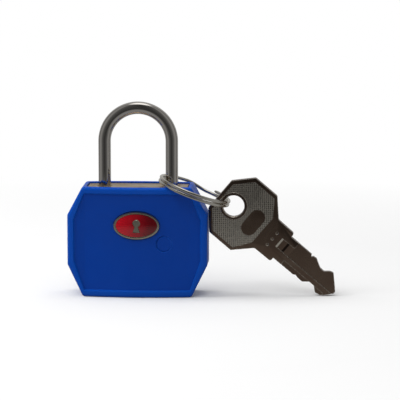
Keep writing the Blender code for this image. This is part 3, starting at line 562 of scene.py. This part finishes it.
# Painted shade: the flow tone is multiplied darker over the sunk panel.
tone_with_panel_shade = blend(plastic_tree, panel, flow_tone, (0.5, 0.68, 0.78), "MULTIPLY")
edge_highlight_share = node(plastic_tree, "Math", edge_highlight, operation="MULTIPLY", in_1=0.35)
edge_highlighted_tone = blend(plastic_tree, edge_highlight_share, tone_with_panel_shade, (0.02, 0.12, 0.56))
plastic_shader.inputs["IOR"].default_value = 1.46
plastic_shader.inputs["Specular IOR Level"].default_value = 0.16
feed_shader(plastic_tree, plastic_shader, edge_highlighted_tone, shine, fine_grain.outputs["Fac"], 0.006 * mm,
            metallic=0.0)

front_case = mark_front(make_case_half("front_cover_moulding", -1))
rear_case = make_case_half("rear_cover_moulding", 1)
finish_piece(front_case, plastic, "case", "front_cover", 28)
finish_piece(rear_case, plastic, "case", "rear_cover", 28)

# ------------------------------------------------------------------ badge
# A small oval plate struck in pale metal, with a raised rim and a raised keyhole figure,
# pressed into its seat; hard red enamel fills the dish and stands slightly domed.

plate_back = badge_high.y
plate_thickness, rim_height, rim_band = 0.4 * mm, 0.35 * mm, 0.4 * mm
dish_y = plate_back - plate_thickness
rim_y = dish_y - rim_height
figure_y = dish_y - 0.45 * mm


def keyhole(grow=0.0, steps=28):
    """The keyhole figure: a round head over a flared foot."""
    head, neck, foot = 0.85 * mm + grow, 0.38 * mm + grow, 0.8 * mm + grow
    head_z, foot_z = badge_z + 0.55 * mm, badge_z - 1.6 * mm - grow
    start = math.asin(neck / head)
    points = []
    for k in range(steps + 1):
        turn = start + (2 * math.pi - 2 * start) * k / steps
        points.append((head * math.sin(turn), head_z - head * math.cos(turn)))
    return points + [(-foot, foot_z), (foot, foot_z)]


def make_badge_plate():
    levels = [(0.0, plate_back), (0.0, rim_y + 0.12 * mm), (0.04 * mm, rim_y + 0.04 * mm),
              (0.12 * mm, rim_y), (rim_band - 0.1 * mm, rim_y),
              (rim_band - 0.03 * mm, rim_y + 0.05 * mm), (rim_band, dish_y)]
    plate = solid("badge_plate_struck", skin([
        lay(oval(badge_half[0] - inset, badge_half[1] - inset), y, "Y") for inset, y in levels
    ]))
    figure = [
        lay(keyhole(grow), y, "Y")
        for grow, y in ((0.0, dish_y + 0.2 * mm), (0.0, figure_y + 0.06 * mm),
                        (-0.06 * mm, figure_y))
    ]
    return carve(plate, [skin(figure)], "UNION")


def make_badge_enamel():
    inset = rim_band + slide_gap
    bottom = dish_y - seat_gap
    edge = bottom - 0.1 * mm
    half_width, half_height = badge_half[0] - inset, badge_half[1] - inset
    rows = [lay(oval(half_width, half_height), bottom, "Y")]
    steps = 12
    for k in range(steps):
        share = 1 - k / steps
        y = edge - 0.2 * mm * (1 - share ** 2)
        rows.append(lay(oval(half_width * share, half_height * share), y, "Y"))
    fill = solid("badge_enamel_fill", skin(rows))
    wall = keyhole(0.1 * mm)
    return carve(fill, [skin([lay(wall, bottom + past, "Y"), lay(wall, bottom - past, "Y")])])


def worn_metal(name, clean, worn, roughness, marked, lines=900.0, stretch=0.06,
               depth=0.004 * mm):
    """A metal with hairlines, handling marks and rubbed edges in their own tone."""
    finish, tree, shader, own = new_finish(name)
    scratch = place_group(tree, hairlines, own, Fineness=lines, Stretch=stretch)
    smudge = place_group(tree, handling, own, Size=160.0, Clean=roughness, Marked=marked)
    edges = place_group(tree, rubbed_and_lit_edges, own, Width=0.12 * mm)
    tone = blend(tree, edges, clean, worn)
    feed_shader(tree, shader, tone, smudge, scratch.outputs["Height"], depth)
    return finish


badge_metal = worn_metal("pale struck metal", (0.6, 0.56, 0.45), (0.8, 0.76, 0.64), 0.2, 0.32)
enamel, enamel_tree, enamel_shader, enamel_own = new_finish("red enamel")
centred = node(enamel_tree, "VectorMath", enamel_own, operation="SUBTRACT",
               in_1=(0.0, 0.0, badge_z))
apart = node(enamel_tree, "SeparateXYZ", centred)
angle = node(enamel_tree, "Math", apart.outputs["Z"], apart.outputs["X"], operation="ARCTAN2")
many = node(enamel_tree, "Math", angle, operation="MULTIPLY", in_1=36.0)
rays = node(enamel_tree, "Math", many, operation="SINE")
cloud = node(enamel_tree, "TexNoise", enamel_own, in_Scale=420.0, in_Detail=3.0)
# The red is painted lighter on the left of the badge and darker towards the right: painted shade
# across the enamel, with a random cloud and fine sunburst rays over it.
sweep = node(enamel_tree, "MapRange", apart.outputs["X"], in_From_Min=-4 * mm,
             in_From_Max=4 * mm)
rays_and_shade = node(enamel_tree, "Math", rays, None, sweep, operation="MULTIPLY_ADD", in_1=0.12)
mottle_and_shade = node(enamel_tree, "Math", cloud, None, rays_and_shade, operation="MULTIPLY_ADD", in_1=0.25)
red = blend(enamel_tree, mottle_and_shade, (0.5, 0.002, 0.012), (0.09, 0.0, 0.003))
gloss = place_group(enamel_tree, handling, enamel_own, Size=300.0, Clean=0.06, Marked=0.16)
enamel_shader.inputs["Coat Weight"].default_value = 0.6
feed_shader(enamel_tree, enamel_shader, red, gloss, cloud.outputs["Fac"], 0.008 * mm,
            metallic=0.0)

finish_piece(make_badge_plate(), badge_metal, "case", "badge_plate")
finish_piece(make_badge_enamel(), enamel, "case", "badge_enamel")

# ------------------------------------------------------------------ shackle
# A bow bent from round steel rod, polished and nickel-plated. The toe has a notch for the
# bolt; the heel is turned down to a neck, which runs on a cross pin and stands on a spring.


def bent_rod(path, radii, sides, across):
    """A rod along a path; across never lies along the path."""
    rows = []
    for i, point in enumerate(path):
        along = (path[min(i + 1, len(path) - 1)] - path[max(i - 1, 0)]).normalized()
        side = along.cross(across).normalized()
        up = side.cross(along)
        rows.append([
            point + radii[i] * (side * math.cos(turn) + up * math.sin(turn))
            for turn in (2 * math.pi * k / sides for k in range(sides))
        ])
    return skin(rows)


def make_shackle():
    chamfer = 0.4 * mm
    crown_z = shackle_high.z - rod_radius - leg_x
    stations = []
    for k in range(5):
        turn = math.pi / 2 * k / 4
        stations.append(((-leg_x, toe_z + chamfer * (1 - math.cos(turn))),
                         rod_radius - chamfer * (1 - math.sin(turn))))
    bends = 72
    for k in range(bends + 1):
        turn = math.pi * (1 - k / bends)
        stations.append(((leg_x * math.cos(turn), crown_z + leg_x * math.sin(turn)),
                         rod_radius))
    neck = 1.0 * mm
    foot_top = shackle_low.z + 1.5 * mm
    stations += [
        ((leg_x, z), radius) for z, radius in (
            (neck_top + 0.25 * mm, rod_radius), (neck_top + 0.1 * mm, neck + 0.3 * mm),
            (neck_top, neck), (foot_top, neck), (foot_top - 0.05 * mm, rod_radius),
            (shackle_low.z + 0.2 * mm, rod_radius), (shackle_low.z, rod_radius - 0.2 * mm),
        )
    ]
    path = [Vector((x, 0.0, z)) for (x, z), _ in stations]
    radii = [radius for _, radius in stations]
    bow = solid("shackle_bow", bent_rod(path, radii, 56, Vector((0, 1, 0))))
    inner = -leg_x + rod_radius
    notch_depth, half_gap = 1.2 * mm, bolt_radius + notch_gap
    notch = brick((inner - notch_depth, -rod_radius - past, bolt_z - half_gap),
                  (inner + past, rod_radius + past, bolt_z + half_gap))
    return carve(bow, [notch])


neck_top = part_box("shackle_pin")[1].z + 0.2 * mm
nickel = worn_metal("polished nickel", (0.62, 0.59, 0.55), (0.76, 0.73, 0.68), 0.07, 0.14,
                    lines=700.0, depth=0.0025 * mm)
finish_piece(make_shackle(), nickel, "shackle", "shackle")

# ------------------------------------------------------------------ works
# The bolt, cam, pins and springs are small steel parts, zinc-plated or left as drawn; the
# bore plug and the wafers are brass. They sit inside the block and keep their plain shapes.

zinc_steel = worn_metal("zinc-plated steel", (0.52, 0.53, 0.55), (0.68, 0.69, 0.7), 0.28, 0.42)
spring_steel = worn_metal("drawn spring steel", (0.42, 0.42, 0.43), (0.6, 0.6, 0.6), 0.3, 0.42,
                          lines=2500.0, stretch=0.02)
wafer_brass = worn_metal("stamped brass", (0.62, 0.48, 0.26), (0.75, 0.62, 0.38), 0.26, 0.4)
for names, finish in (
    (("locking_bolt", "plug_cam", "shackle_pin", "plug_pin"), zinc_steel),
    (("shackle_spring", "bolt_spring", "wafer_spring_1", "wafer_spring_2", "wafer_spring_3",
      "wafer_spring_4"), spring_steel),
    (("bolt_bore_plug", "wafer_1", "wafer_2", "wafer_3", "wafer_4"), wafer_brass),
):
    for name in names:
        cad_piece = frame["nodes"][name]
        cad_piece.data.materials.clear()
        cad_piece.data.materials.append(finish)
        cad_piece.data.shade_smooth()
        cad_piece.data.set_sharp_from_angle(angle=math.radians(32))

# ------------------------------------------------------------------ plug
# The turning plug is a zinc die casting with a slot for the flat key, drawn in the open
# position. Its face is set back in the brass and shows through the hole in the case floor.

cast_zinc = worn_metal("die-cast zinc", (0.5, 0.5, 0.49), (0.66, 0.66, 0.64), 0.34, 0.5,
                       lines=600.0)
plug_node = frame["nodes"]["key_plug"]
plug_node.data.materials.clear()
plug_node.data.materials.append(cast_zinc)

# ------------------------------------------------------------------ key ring
# A split ring of two close turns of hard nickel-plated wire, with a short step between the
# turns, threaded round the heel leg of the shackle.

joints = {joint["name"]: joint for joint in frame["joints"]}
ring_wire = 0.8 * mm
ring_start, ring_far = (Vector(joints[name]["pos_m"]) for name in ("ring_tilt", "key_swing"))
ring_axis = ring_far - ring_start
ring_radius = ring_axis.length / 2
ring_tilt = math.atan2(-ring_axis.z, ring_axis.x)


def make_ring():
    steps, turns = 110, 2
    jog, gap = 0.35, 0.09
    pitch = ring_wire + 0.06 * mm
    count = steps * turns
    path = []
    for i in range(count + 1):
        turn = 2 * math.pi * turns * (gap / 2 + (1 - gap) * i / count)
        away = (turn - 2 * math.pi) / jog
        step = 0.5 * math.sin(math.pi / 2 * max(-1.0, min(1.0, away)))
        angle = math.pi / 2 + turn
        path.append(Vector((ring_radius * (1 + math.cos(angle)), ring_radius * math.sin(angle),
                            pitch * step)))
    radii = [ring_wire / 2] * len(path)
    for k, share in enumerate((0.55, 0.85, 0.96)):
        radii[k] *= share
        radii[-1 - k] *= share
    shape = bent_rod(path, radii, 20, Vector((0, 0, 1)))
    tilt = Matrix.Translation(ring_start) @ Matrix.Rotation(ring_tilt, 4, "Y")
    bmesh.ops.transform(shape, matrix=tilt, verts=shape.verts)
    return solid("split_ring", shape)


ring_nickel = worn_metal("bright nickel wire", (0.7, 0.67, 0.6), (0.8, 0.78, 0.72), 0.1, 0.2,
                         lines=1500.0)
finish_piece(make_ring(), ring_nickel, "ring", "key_ring")

# ------------------------------------------------------------------ key
# A flat key stamped from brass strip and nickel-plated: a wide eight-sided head with a sunk
# cross-hatched field, a plain collar, and a blade milled on both faces and cut on both edges.

key_low, key_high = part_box("key")
key_thickness = key_high.y - key_low.y
hole_radius = 2.575 * mm
shoulder, blade_length, blade_half = 15.4 * mm, 16.7 * mm, 3.35 * mm
collar_half = 4.4 * mm
head_end, head_neck, head_half, head_facet = -4.35 * mm, 10.4 * mm, 8.65 * mm, 4.0 * mm
end_half = 4.3 * mm


def key_place():
    """The key's own frame: hole centre, and the lean that lets the tip meet the floor."""
    reach = math.hypot(0.43 * mm + ring_wire / 2, ring_wire / 2)
    hang = hole_radius - reach - 0.2 * mm
    turn = math.radians(-24)
    hole = ring_far + hang * Vector((math.cos(turn), 0.0, math.sin(turn)))
    corner = (shoulder + blade_length - 2.2 * mm, blade_half - 0.45 * mm)
    fall = (hole.z - case_bottom - 0.1 * mm) / math.hypot(*corner)
    lean = math.asin(fall) - math.atan2(corner[1], corner[0])
    return Matrix.Translation(hole) @ Matrix.Rotation(lean, 4, "Y"), lean


def rounded_outline(points, steps=4):
    """An outline of (x, z, radius) corners in order, each rounded to its own radius."""
    outline = []
    count = len(points)
    for i, (x, z, radius) in enumerate(points):
        here = Vector((x, z))
        before = Vector(points[i - 1][:2]) - here
        after = Vector(points[(i + 1) % count][:2]) - here
        room = 0.45 * min(before.length, after.length)
        before.normalize()
        after.normalize()
        half = before.angle(after) / 2
        if radius <= 0 or half > math.radians(88):
            outline.append(tuple(here))
            continue
        reach = min(radius / math.tan(half), room)
        radius = reach * math.tan(half)
        middle = here + (before + after).normalized() * radius / math.sin(half)
        start = here + before * reach - middle
        sweep = start.angle_signed(here + after * reach - middle)
        for k in range(steps + 1):
            outline.append(tuple(middle + Matrix.Rotation(-sweep * k / steps, 2) @ start))
    return outline


def moved_in(outline, distance):
    """The outline with every point moved inwards; it runs clockwise."""
    moved = []
    count = len(outline)
    for i, point in enumerate(outline):
        here = Vector(point)
        before = (here - Vector(outline[i - 1])).normalized()
        after = (Vector(outline[(i + 1) % count]) - here).normalized()
        normal = Vector((before.y, -before.x)) + Vector((after.y, -after.x))
        normal.normalize()
        stretch = max(0.5, normal.dot(Vector((before.y, -before.x))))
        moved.append(tuple(here + normal * distance / stretch))
    return moved


def key_outline():
    """Head, collar and bitted blade, upper edge first, from the head's end to the tip."""
    upper = [(head_end, end_half, 0.7), (head_end + head_facet, head_half, 0.7),
             (head_neck - head_facet, head_half, 0.7), (head_neck, end_half + 0.2 * mm, 0.9),
             (shoulder, collar_half, 0.9), (shoulder, blade_half, 0.15)]
    bits = ((6.5, 0.0, 0.1), (6.8, 0.6, 0.15), (7.1, 0.15, 0.2), (8.0, 0.0, 0.5),
            (9.4, 0.8, 0.8), (10.3, 1.25, 0.6), (11.4, 1.25, 0.6), (12.5, 0.3, 0.6),
            (13.4, 0.0, 0.5))
    upper += [(shoulder + x * mm, blade_half - drop * mm, r) for x, drop, r in bits]
    lower = [(shoulder + blade_length, 0.1 * mm, 0.2), (shoulder + blade_length, -0.5 * mm, 0.5)]
    bits = ((14.5, 0.45, 1.0), (13.1, 0.15, 0.5), (11.8, 1.25, 0.6), (10.4, 1.25, 0.6),
            (9.0, 0.1, 0.5), (7.5, 0.15, 0.4), (6.8, 0.35, 0.2), (6.2, 0.0, 0.2))
    lower += [(shoulder + x * mm, drop * mm - blade_half, r) for x, drop, r in bits]
    lower += [(shoulder, -blade_half, 0.15), (shoulder, -collar_half, 0.9),
              (head_neck, -end_half - 0.2 * mm, 0.9), (head_neck - head_facet, -head_half, 0.7),
              (head_end + head_facet, -head_half, 0.7), (head_end, -end_half, 0.7)]
    return rounded_outline([(x, z, r * mm) for x, z, r in upper + lower])


border = 0.85 * mm
field_start, field_end, field_side = head_end + border, head_neck - 1.36 * mm, 3.88 * mm
field = [(field_start, field_side), (field_start + 3.66 * mm, head_half - border),
         (field_end - 2.75 * mm, head_half - border), (field_end, field_side)]
field += [(x, -z) for x, z in reversed(field)]
field_depth, hatch_height = 0.2 * mm, 0.16 * mm
hatch_pitch, hatch_line, hatch_slope = 0.49 * mm, 0.18 * mm, 0.05 * mm


def hatched_slab(lean):
    """The raised cross-hatching on the front face: lines both ways over a sunk floor."""
    floor = field_depth - key_thickness / 2
    places = []
    half_count = 24
    for i in range(-half_count, half_count):
        at = (i + 0.13) * hatch_pitch
        places += [(at, 1), (at + hatch_line, 1), (at + hatch_line + hatch_slope, 0),
                   (at + hatch_pitch - hatch_slope, 0)]
    middle = Vector(((field[0][0] + field[3][0]) / 2, 0.0))
    turn = Matrix.Rotation(lean, 2)
    shape = bmesh.new()
    grid = []
    for u, high_u in places:
        row = []
        for v, high_v in places:
            at = middle + turn @ Vector((u, v))
            y = floor - (hatch_height if high_u or high_v else 0.0)
            row.append(shape.verts.new((at.x, y, at.y)))
        grid.append(row)
    count = len(places)
    for i in range(count - 1):
        for j in range(count - 1):
            shape.faces.new((grid[i][j], grid[i + 1][j], grid[i + 1][j + 1], grid[i][j + 1]))
    for i, (x, z) in enumerate(field):
        next_x, next_z = field[(i + 1) % len(field)]
        normal = Vector((next_z - z, 0.0, x - next_x)).normalized()
        if normal.dot(Vector((x - middle.x, 0.0, z))) < 0:
            normal = -normal
        spill = 0.06 * mm
        bmesh.ops.bisect_plane(
            shape, geom=shape.verts[:] + shape.edges[:] + shape.faces[:],
            plane_co=Vector((x, 0.0, z)) + normal * spill, plane_no=normal, clear_outer=True,
        )
    rim = [edge for edge in shape.edges if edge.is_boundary]
    walls = bmesh.ops.extrude_edge_only(shape, edges=rim)["geom"]
    base = floor + 0.1 * mm
    for element in walls:
        if isinstance(element, bmesh.types.BMVert):
            element.co.y = base
    low_edges = [edge for edge in shape.edges if edge.is_boundary]
    bmesh.ops.edgeloop_fill(shape, edges=low_edges)
    return shape


def stadium(half_length, half_width, centre, steps=16):
    """A slot-shaped outline, long across the key."""
    straight = half_length - half_width
    points = []
    for sign in (1, -1):
        for k in range(steps + 1):
            turn = math.pi * k / steps + (0 if sign > 0 else math.pi)
            points.append((centre + half_width * math.cos(turn),
                           sign * straight + half_width * math.sin(turn)))
    return points


def ramp_cut(side, start, end, low, high, depth):
    """A cutter's run-in: a cut that sinks evenly from the face to its full depth."""
    half = key_thickness / 2
    rows = []
    for x, y in ((start, half), (end, half - depth), (end, half + past), (start, half + past)):
        rows.append([(x, side * y, -side * z) for z in (low, high)])
    shape = bmesh.new()
    (a, b, c, d) = [[shape.verts.new(point) for point in row] for row in rows]
    for face in ((a[0], b[0], c[0], d[0]), (a[1], b[1], c[1], d[1]), (a[0], a[1], b[1], b[0]),
                 (b[0], b[1], c[1], c[0]), (c[0], c[1], d[1], d[0]), (d[0], d[1], a[1], a[0])):
        shape.faces.new(face)
    return shape


def make_key():
    half = key_thickness / 2
    outline = key_outline()
    soft = 0.12 * mm
    rows = []
    for inset, y in ((soft, -half), (soft * 0.3, -half + soft * 0.3), (0.0, -half + soft),
                     (0.0, half - soft), (soft * 0.3, half - soft * 0.3), (soft, half)):
        rows.append(lay(moved_in(outline, inset), y, "Y"))
    key = solid("luggage_key", skin(rows))
    place, lean = key_place()
    rib_low, rib_high = 0.85 * mm, 2.1 * mm
    run_in, full_cut, tip = 13.7 * mm, 17.8 * mm, shoulder + blade_length
    wide = blade_half + past
    rib_end = tip - 2 * mm
    above = [(full_cut, -rib_low), (tip + past, -rib_low), (tip + past, wide), (full_cut, wide)]
    below = [(full_cut, -wide), (rib_end, -wide), (rib_end, -rib_high), (full_cut, -rib_high)]
    eye = hole_radius + 0.75 * mm
    hole = [(hole_radius + soft + past, -half - past), (hole_radius + soft, -half),
            (hole_radius, -half + soft), (hole_radius, half - soft), (hole_radius + soft, half),
            (hole_radius + soft + past, half + past)]
    pad = stadium(3.5 * mm, 1.9 * mm, 6.15 * mm)
    pad_top = half - 0.006 * mm
    mill_depth, dot_x = 0.35 * mm, 12.2 * mm
    for side in (-1, 1):
        milled = side * (half - mill_depth)
        outer = side * (half + past)
        carve(key, [skin([lay(field, side * (half - field_depth), "Y"), lay(field, outer, "Y")])])
        for shape in (above, below):
            turned = [(x, -side * z) for x, z in shape]
            carve(key, [skin([lay(turned, milled, "Y"), lay(turned, outer, "Y")])])
        carve(key, [ramp_cut(side, run_in, full_cut + 0.02 * mm, -rib_low, 1.75 * mm, mill_depth)])
        dot = [(0.5 * mm, outer), (0.34 * mm, side * (half - 0.02 * mm)),
               (0.2 * mm, side * (half - 0.14 * mm))]
        carve(key, [bore(dot, (dot_x, -side * z * mm), "Y", 20) for z in (-1.8, 0.0, 1.8)])
    carve(key, [bore(hole, (0.0, 0.0), "Y", 72)])
    slab = solid("hatching", hatched_slab(lean))
    deep = field_depth + 0.15 * mm - half
    carve(slab, [skin([lay(pad, deep, "Y"), lay(pad, -pad_top, "Y")]),
                 bore([(eye, deep), (eye, 0.08 * mm - half), (eye - 0.08 * mm, -pad_top)],
                      (0.0, 0.0), "Y", 72)], "UNION")
    clear = hole_radius + 0.02 * mm
    carve(slab, [bore([(clear + soft + past, -half - past), (clear + soft, -half),
                       (clear, soft - half), (clear, past)], (0.0, 0.0), "Y", 72)])
    for turn in (0.0, math.pi):
        shape = bmesh.new()
        shape.from_mesh(slab.data)
        bmesh.ops.transform(shape, matrix=Matrix.Rotation(turn, 4, "X"), verts=shape.verts)
        carve(key, [shape], "UNION")
    bpy.data.objects.remove(slab)
    key.data.transform(place)
    return key


key_nickel, key_tree, key_shader, key_own = new_finish("tarnished nickel plate")
key_parts = node(key_tree, "SeparateXYZ", key_own)
level = node(key_tree, "Math", key_parts.outputs["Y"], operation="ABSOLUTE")
cell_level = key_thickness / 2 - field_depth
line = node(key_tree, "Math", level, operation="COMPARE", in_1=cell_level + hatch_height,
            in_2=0.02 * mm)
# The floors of the sunk cells between the hatch lines are painted near-black: painted shade in the
# cells.
cell_shade_mask = node(key_tree, "Math", level, operation="COMPARE", in_1=cell_level,
                  in_2=0.025 * mm)
key_edges = place_group(key_tree, rubbed_and_lit_edges, key_own, Width=0.22 * mm, Breakup=1500.0)
polished = node(key_tree, "Math", line, key_edges, operation="MAXIMUM")
key_scratches = place_group(key_tree, hairlines, key_own, Fineness=800.0)
key_smudges = place_group(key_tree, handling, key_own, Size=160.0, Clean=0.2, Marked=0.32)
tarnished = blend(key_tree, key_smudges.outputs["Mask"], (0.17, 0.115, 0.085),
                  (0.22, 0.16, 0.12))
cell_shaded_tone = blend(key_tree, cell_shade_mask, tarnished, (0.03, 0.02, 0.016))
key_tone = blend(key_tree, polished, cell_shaded_tone, (0.9, 0.84, 0.73))
feed_shader(key_tree, key_shader, key_tone, key_smudges, key_scratches.outputs["Height"],
            0.004 * mm)
finish_piece(make_key(), key_nickel, "key", "key", 24)

# ------------------------------------------------------------------ studio
# A white table in a soft light from the left and from above. What the polished pieces mirror
# is a darker room: near-black towards the viewer, grey at the sides, paler behind.

middle = Vector((14.88, 0.0, -3.34)) * mm
around_levels = ((0.0, 0.04), (0.05, 0.07), (0.1, 0.1), (0.15, 0.22), (0.22, 0.33), (0.29, 0.15),
                 (0.38, 0.4), (0.5, 0.5))


def room_level(tree, place):
    """How bright the room is round the object, by the turn of a place from the viewer's side;
    also the place's three parts."""
    parts = node(tree, "SeparateXYZ", place)
    away = node(tree, "Math", parts.outputs["Y"], operation="MULTIPLY", in_1=-1.0)
    turn = node(tree, "Math", parts.outputs["X"], away, operation="ARCTAN2")
    size = node(tree, "Math", turn, operation="ABSOLUTE")
    share = node(tree, "Math", size, operation="DIVIDE", in_1=2 * math.pi)
    levels = node(tree, "ValToRGB", share)
    ramp = levels.color_ramp
    while len(ramp.elements) < len(around_levels):
        ramp.elements.new(0.5)
    for element, (at, level) in zip(ramp.elements, around_levels):
        element.position = at
        element.color = (level, level, level, 1.0)
    return levels, parts


floor_finish, floor_tree, _, floor_own = new_finish("white table")
level, parts = room_level(floor_tree, floor_own)
flat = node(floor_tree, "CombineXYZ", parts.outputs["X"], parts.outputs["Y"])
distance = node(floor_tree, "VectorMath", flat, operation="LENGTH").outputs["Value"]
near = node(floor_tree, "MapRange", distance, in_From_Min=0.06, in_From_Max=0.13)
beyond = node(floor_tree, "MapRange", distance, in_From_Min=0.09, in_From_Max=0.2)

# The eye sees a matt white table that runs out into plain white; other rays see it dimmer,
# and mirrors see the room's own level. From underneath the table is clear.
matt = node(floor_tree, "BsdfDiffuse", in_Color=(0.82, 0.82, 0.82, 1.0))
dim = node(floor_tree, "BsdfDiffuse", in_Color=(0.5, 0.5, 0.5, 1.0))
white = node(floor_tree, "Emission")
mirrored = node(floor_tree, "Mix", near, None, None, level, data_type="FLOAT", in_2=0.27)
in_mirror = node(floor_tree, "Emission", None, mirrored)
clear = node(floor_tree, "BsdfTransparent")
seen, under = node(floor_tree, "LightPath"), node(floor_tree, "NewGeometry")
sweep = node(floor_tree, "MixShader", beyond, matt, white)
for_eye = node(floor_tree, "MixShader", seen.outputs["Is Camera Ray"], dim, sweep)
for_mirror = node(floor_tree, "MixShader", seen.outputs["Is Glossy Ray"], for_eye, in_mirror)
one_way = node(floor_tree, "MixShader", under.outputs["Backfacing"], for_mirror, clear)
floor_output = floor_tree.nodes["Material Output"]
floor_tree.links.new(one_way.outputs[0], floor_output.inputs["Surface"])

floor_reach, floor_gap = 3.0, 0.02 * mm
table_top = bmesh.new()
table_top.faces.new([
    table_top.verts.new((x * floor_reach, y * floor_reach, cad_low.z - floor_gap))
    for x, y in ((-1, -1), (1, -1), (1, 1), (-1, 1))
])
floor_mesh = bpy.data.meshes.new("floor")
table_top.to_mesh(floor_mesh)
table_top.free()
floor_mesh.materials.append(floor_finish)
floor = bpy.data.objects.new("floor", floor_mesh)
bpy.context.scene.collection.objects.link(floor)

world = bpy.data.worlds.new("studio")
bpy.context.scene.world = world
world.use_nodes = True
sky = world.node_tree
level, parts = room_level(sky, node(sky, "TexCoord"))
overhead = node(sky, "MapRange", parts.outputs["Z"], in_From_Min=0.92, in_From_Max=0.98,
                in_To_Max=1.6)
room = node(sky, "Math", level, overhead, operation="MAXIMUM")
seen = node(sky, "LightPath")
soft = node(sky, "Mix", seen.outputs["Is Glossy Ray"], None, None, room, data_type="FLOAT",
            in_2=0.52)
backing = node(sky, "Mix", seen.outputs["Is Camera Ray"], None, soft, data_type="FLOAT",
               in_3=1.0)
background = sky.nodes["Background"]
background.inputs["Color"].default_value = (1.0, 1.0, 1.0, 1.0)
sky.links.new(backing.outputs[0], background.inputs["Strength"])


def lamp(name, place, size, power):
    """A soft rectangular lamp aimed at the padlock."""
    light = bpy.data.lights.new(name, "AREA")
    light.shape = "RECTANGLE"
    light.size, light.size_y = size
    light.energy = power
    holder = bpy.data.objects.new(name, light)
    bpy.context.scene.collection.objects.link(holder)
    holder.location = place
    holder.rotation_euler = (middle - Vector(place)).to_track_quat("-Z", "Y").to_euler()
    holder.visible_glossy = False


lamp("left_lamp", (-0.4, -0.04, 0.42), (0.3, 0.3), 2.0)
lamp("front_lamp", (-0.1, -0.45, 0.5), (0.35, 0.35), 1.0)
lamp("top_lamp", (0.0, 0.06, 0.6), (0.4, 0.2), 0.8)

camera_data = bpy.data.cameras.new("camera")
camera_data.sensor_width = 36.0
camera_data.lens = 224.3
camera = bpy.data.objects.new("camera", camera_data)
bpy.context.scene.collection.objects.link(camera)
azimuth, elevation, camera_distance = math.radians(3.4), math.radians(8.57), 0.6
back = Vector((math.sin(azimuth) * math.cos(elevation),
               -math.cos(azimuth) * math.cos(elevation), math.sin(elevation)))
camera.location = middle + back * camera_distance
camera.rotation_euler = (-back).to_track_quat("-Z", "Y").to_euler()
bpy.context.scene.camera = camera
bpy.context.scene.view_settings.view_transform = "Standard"
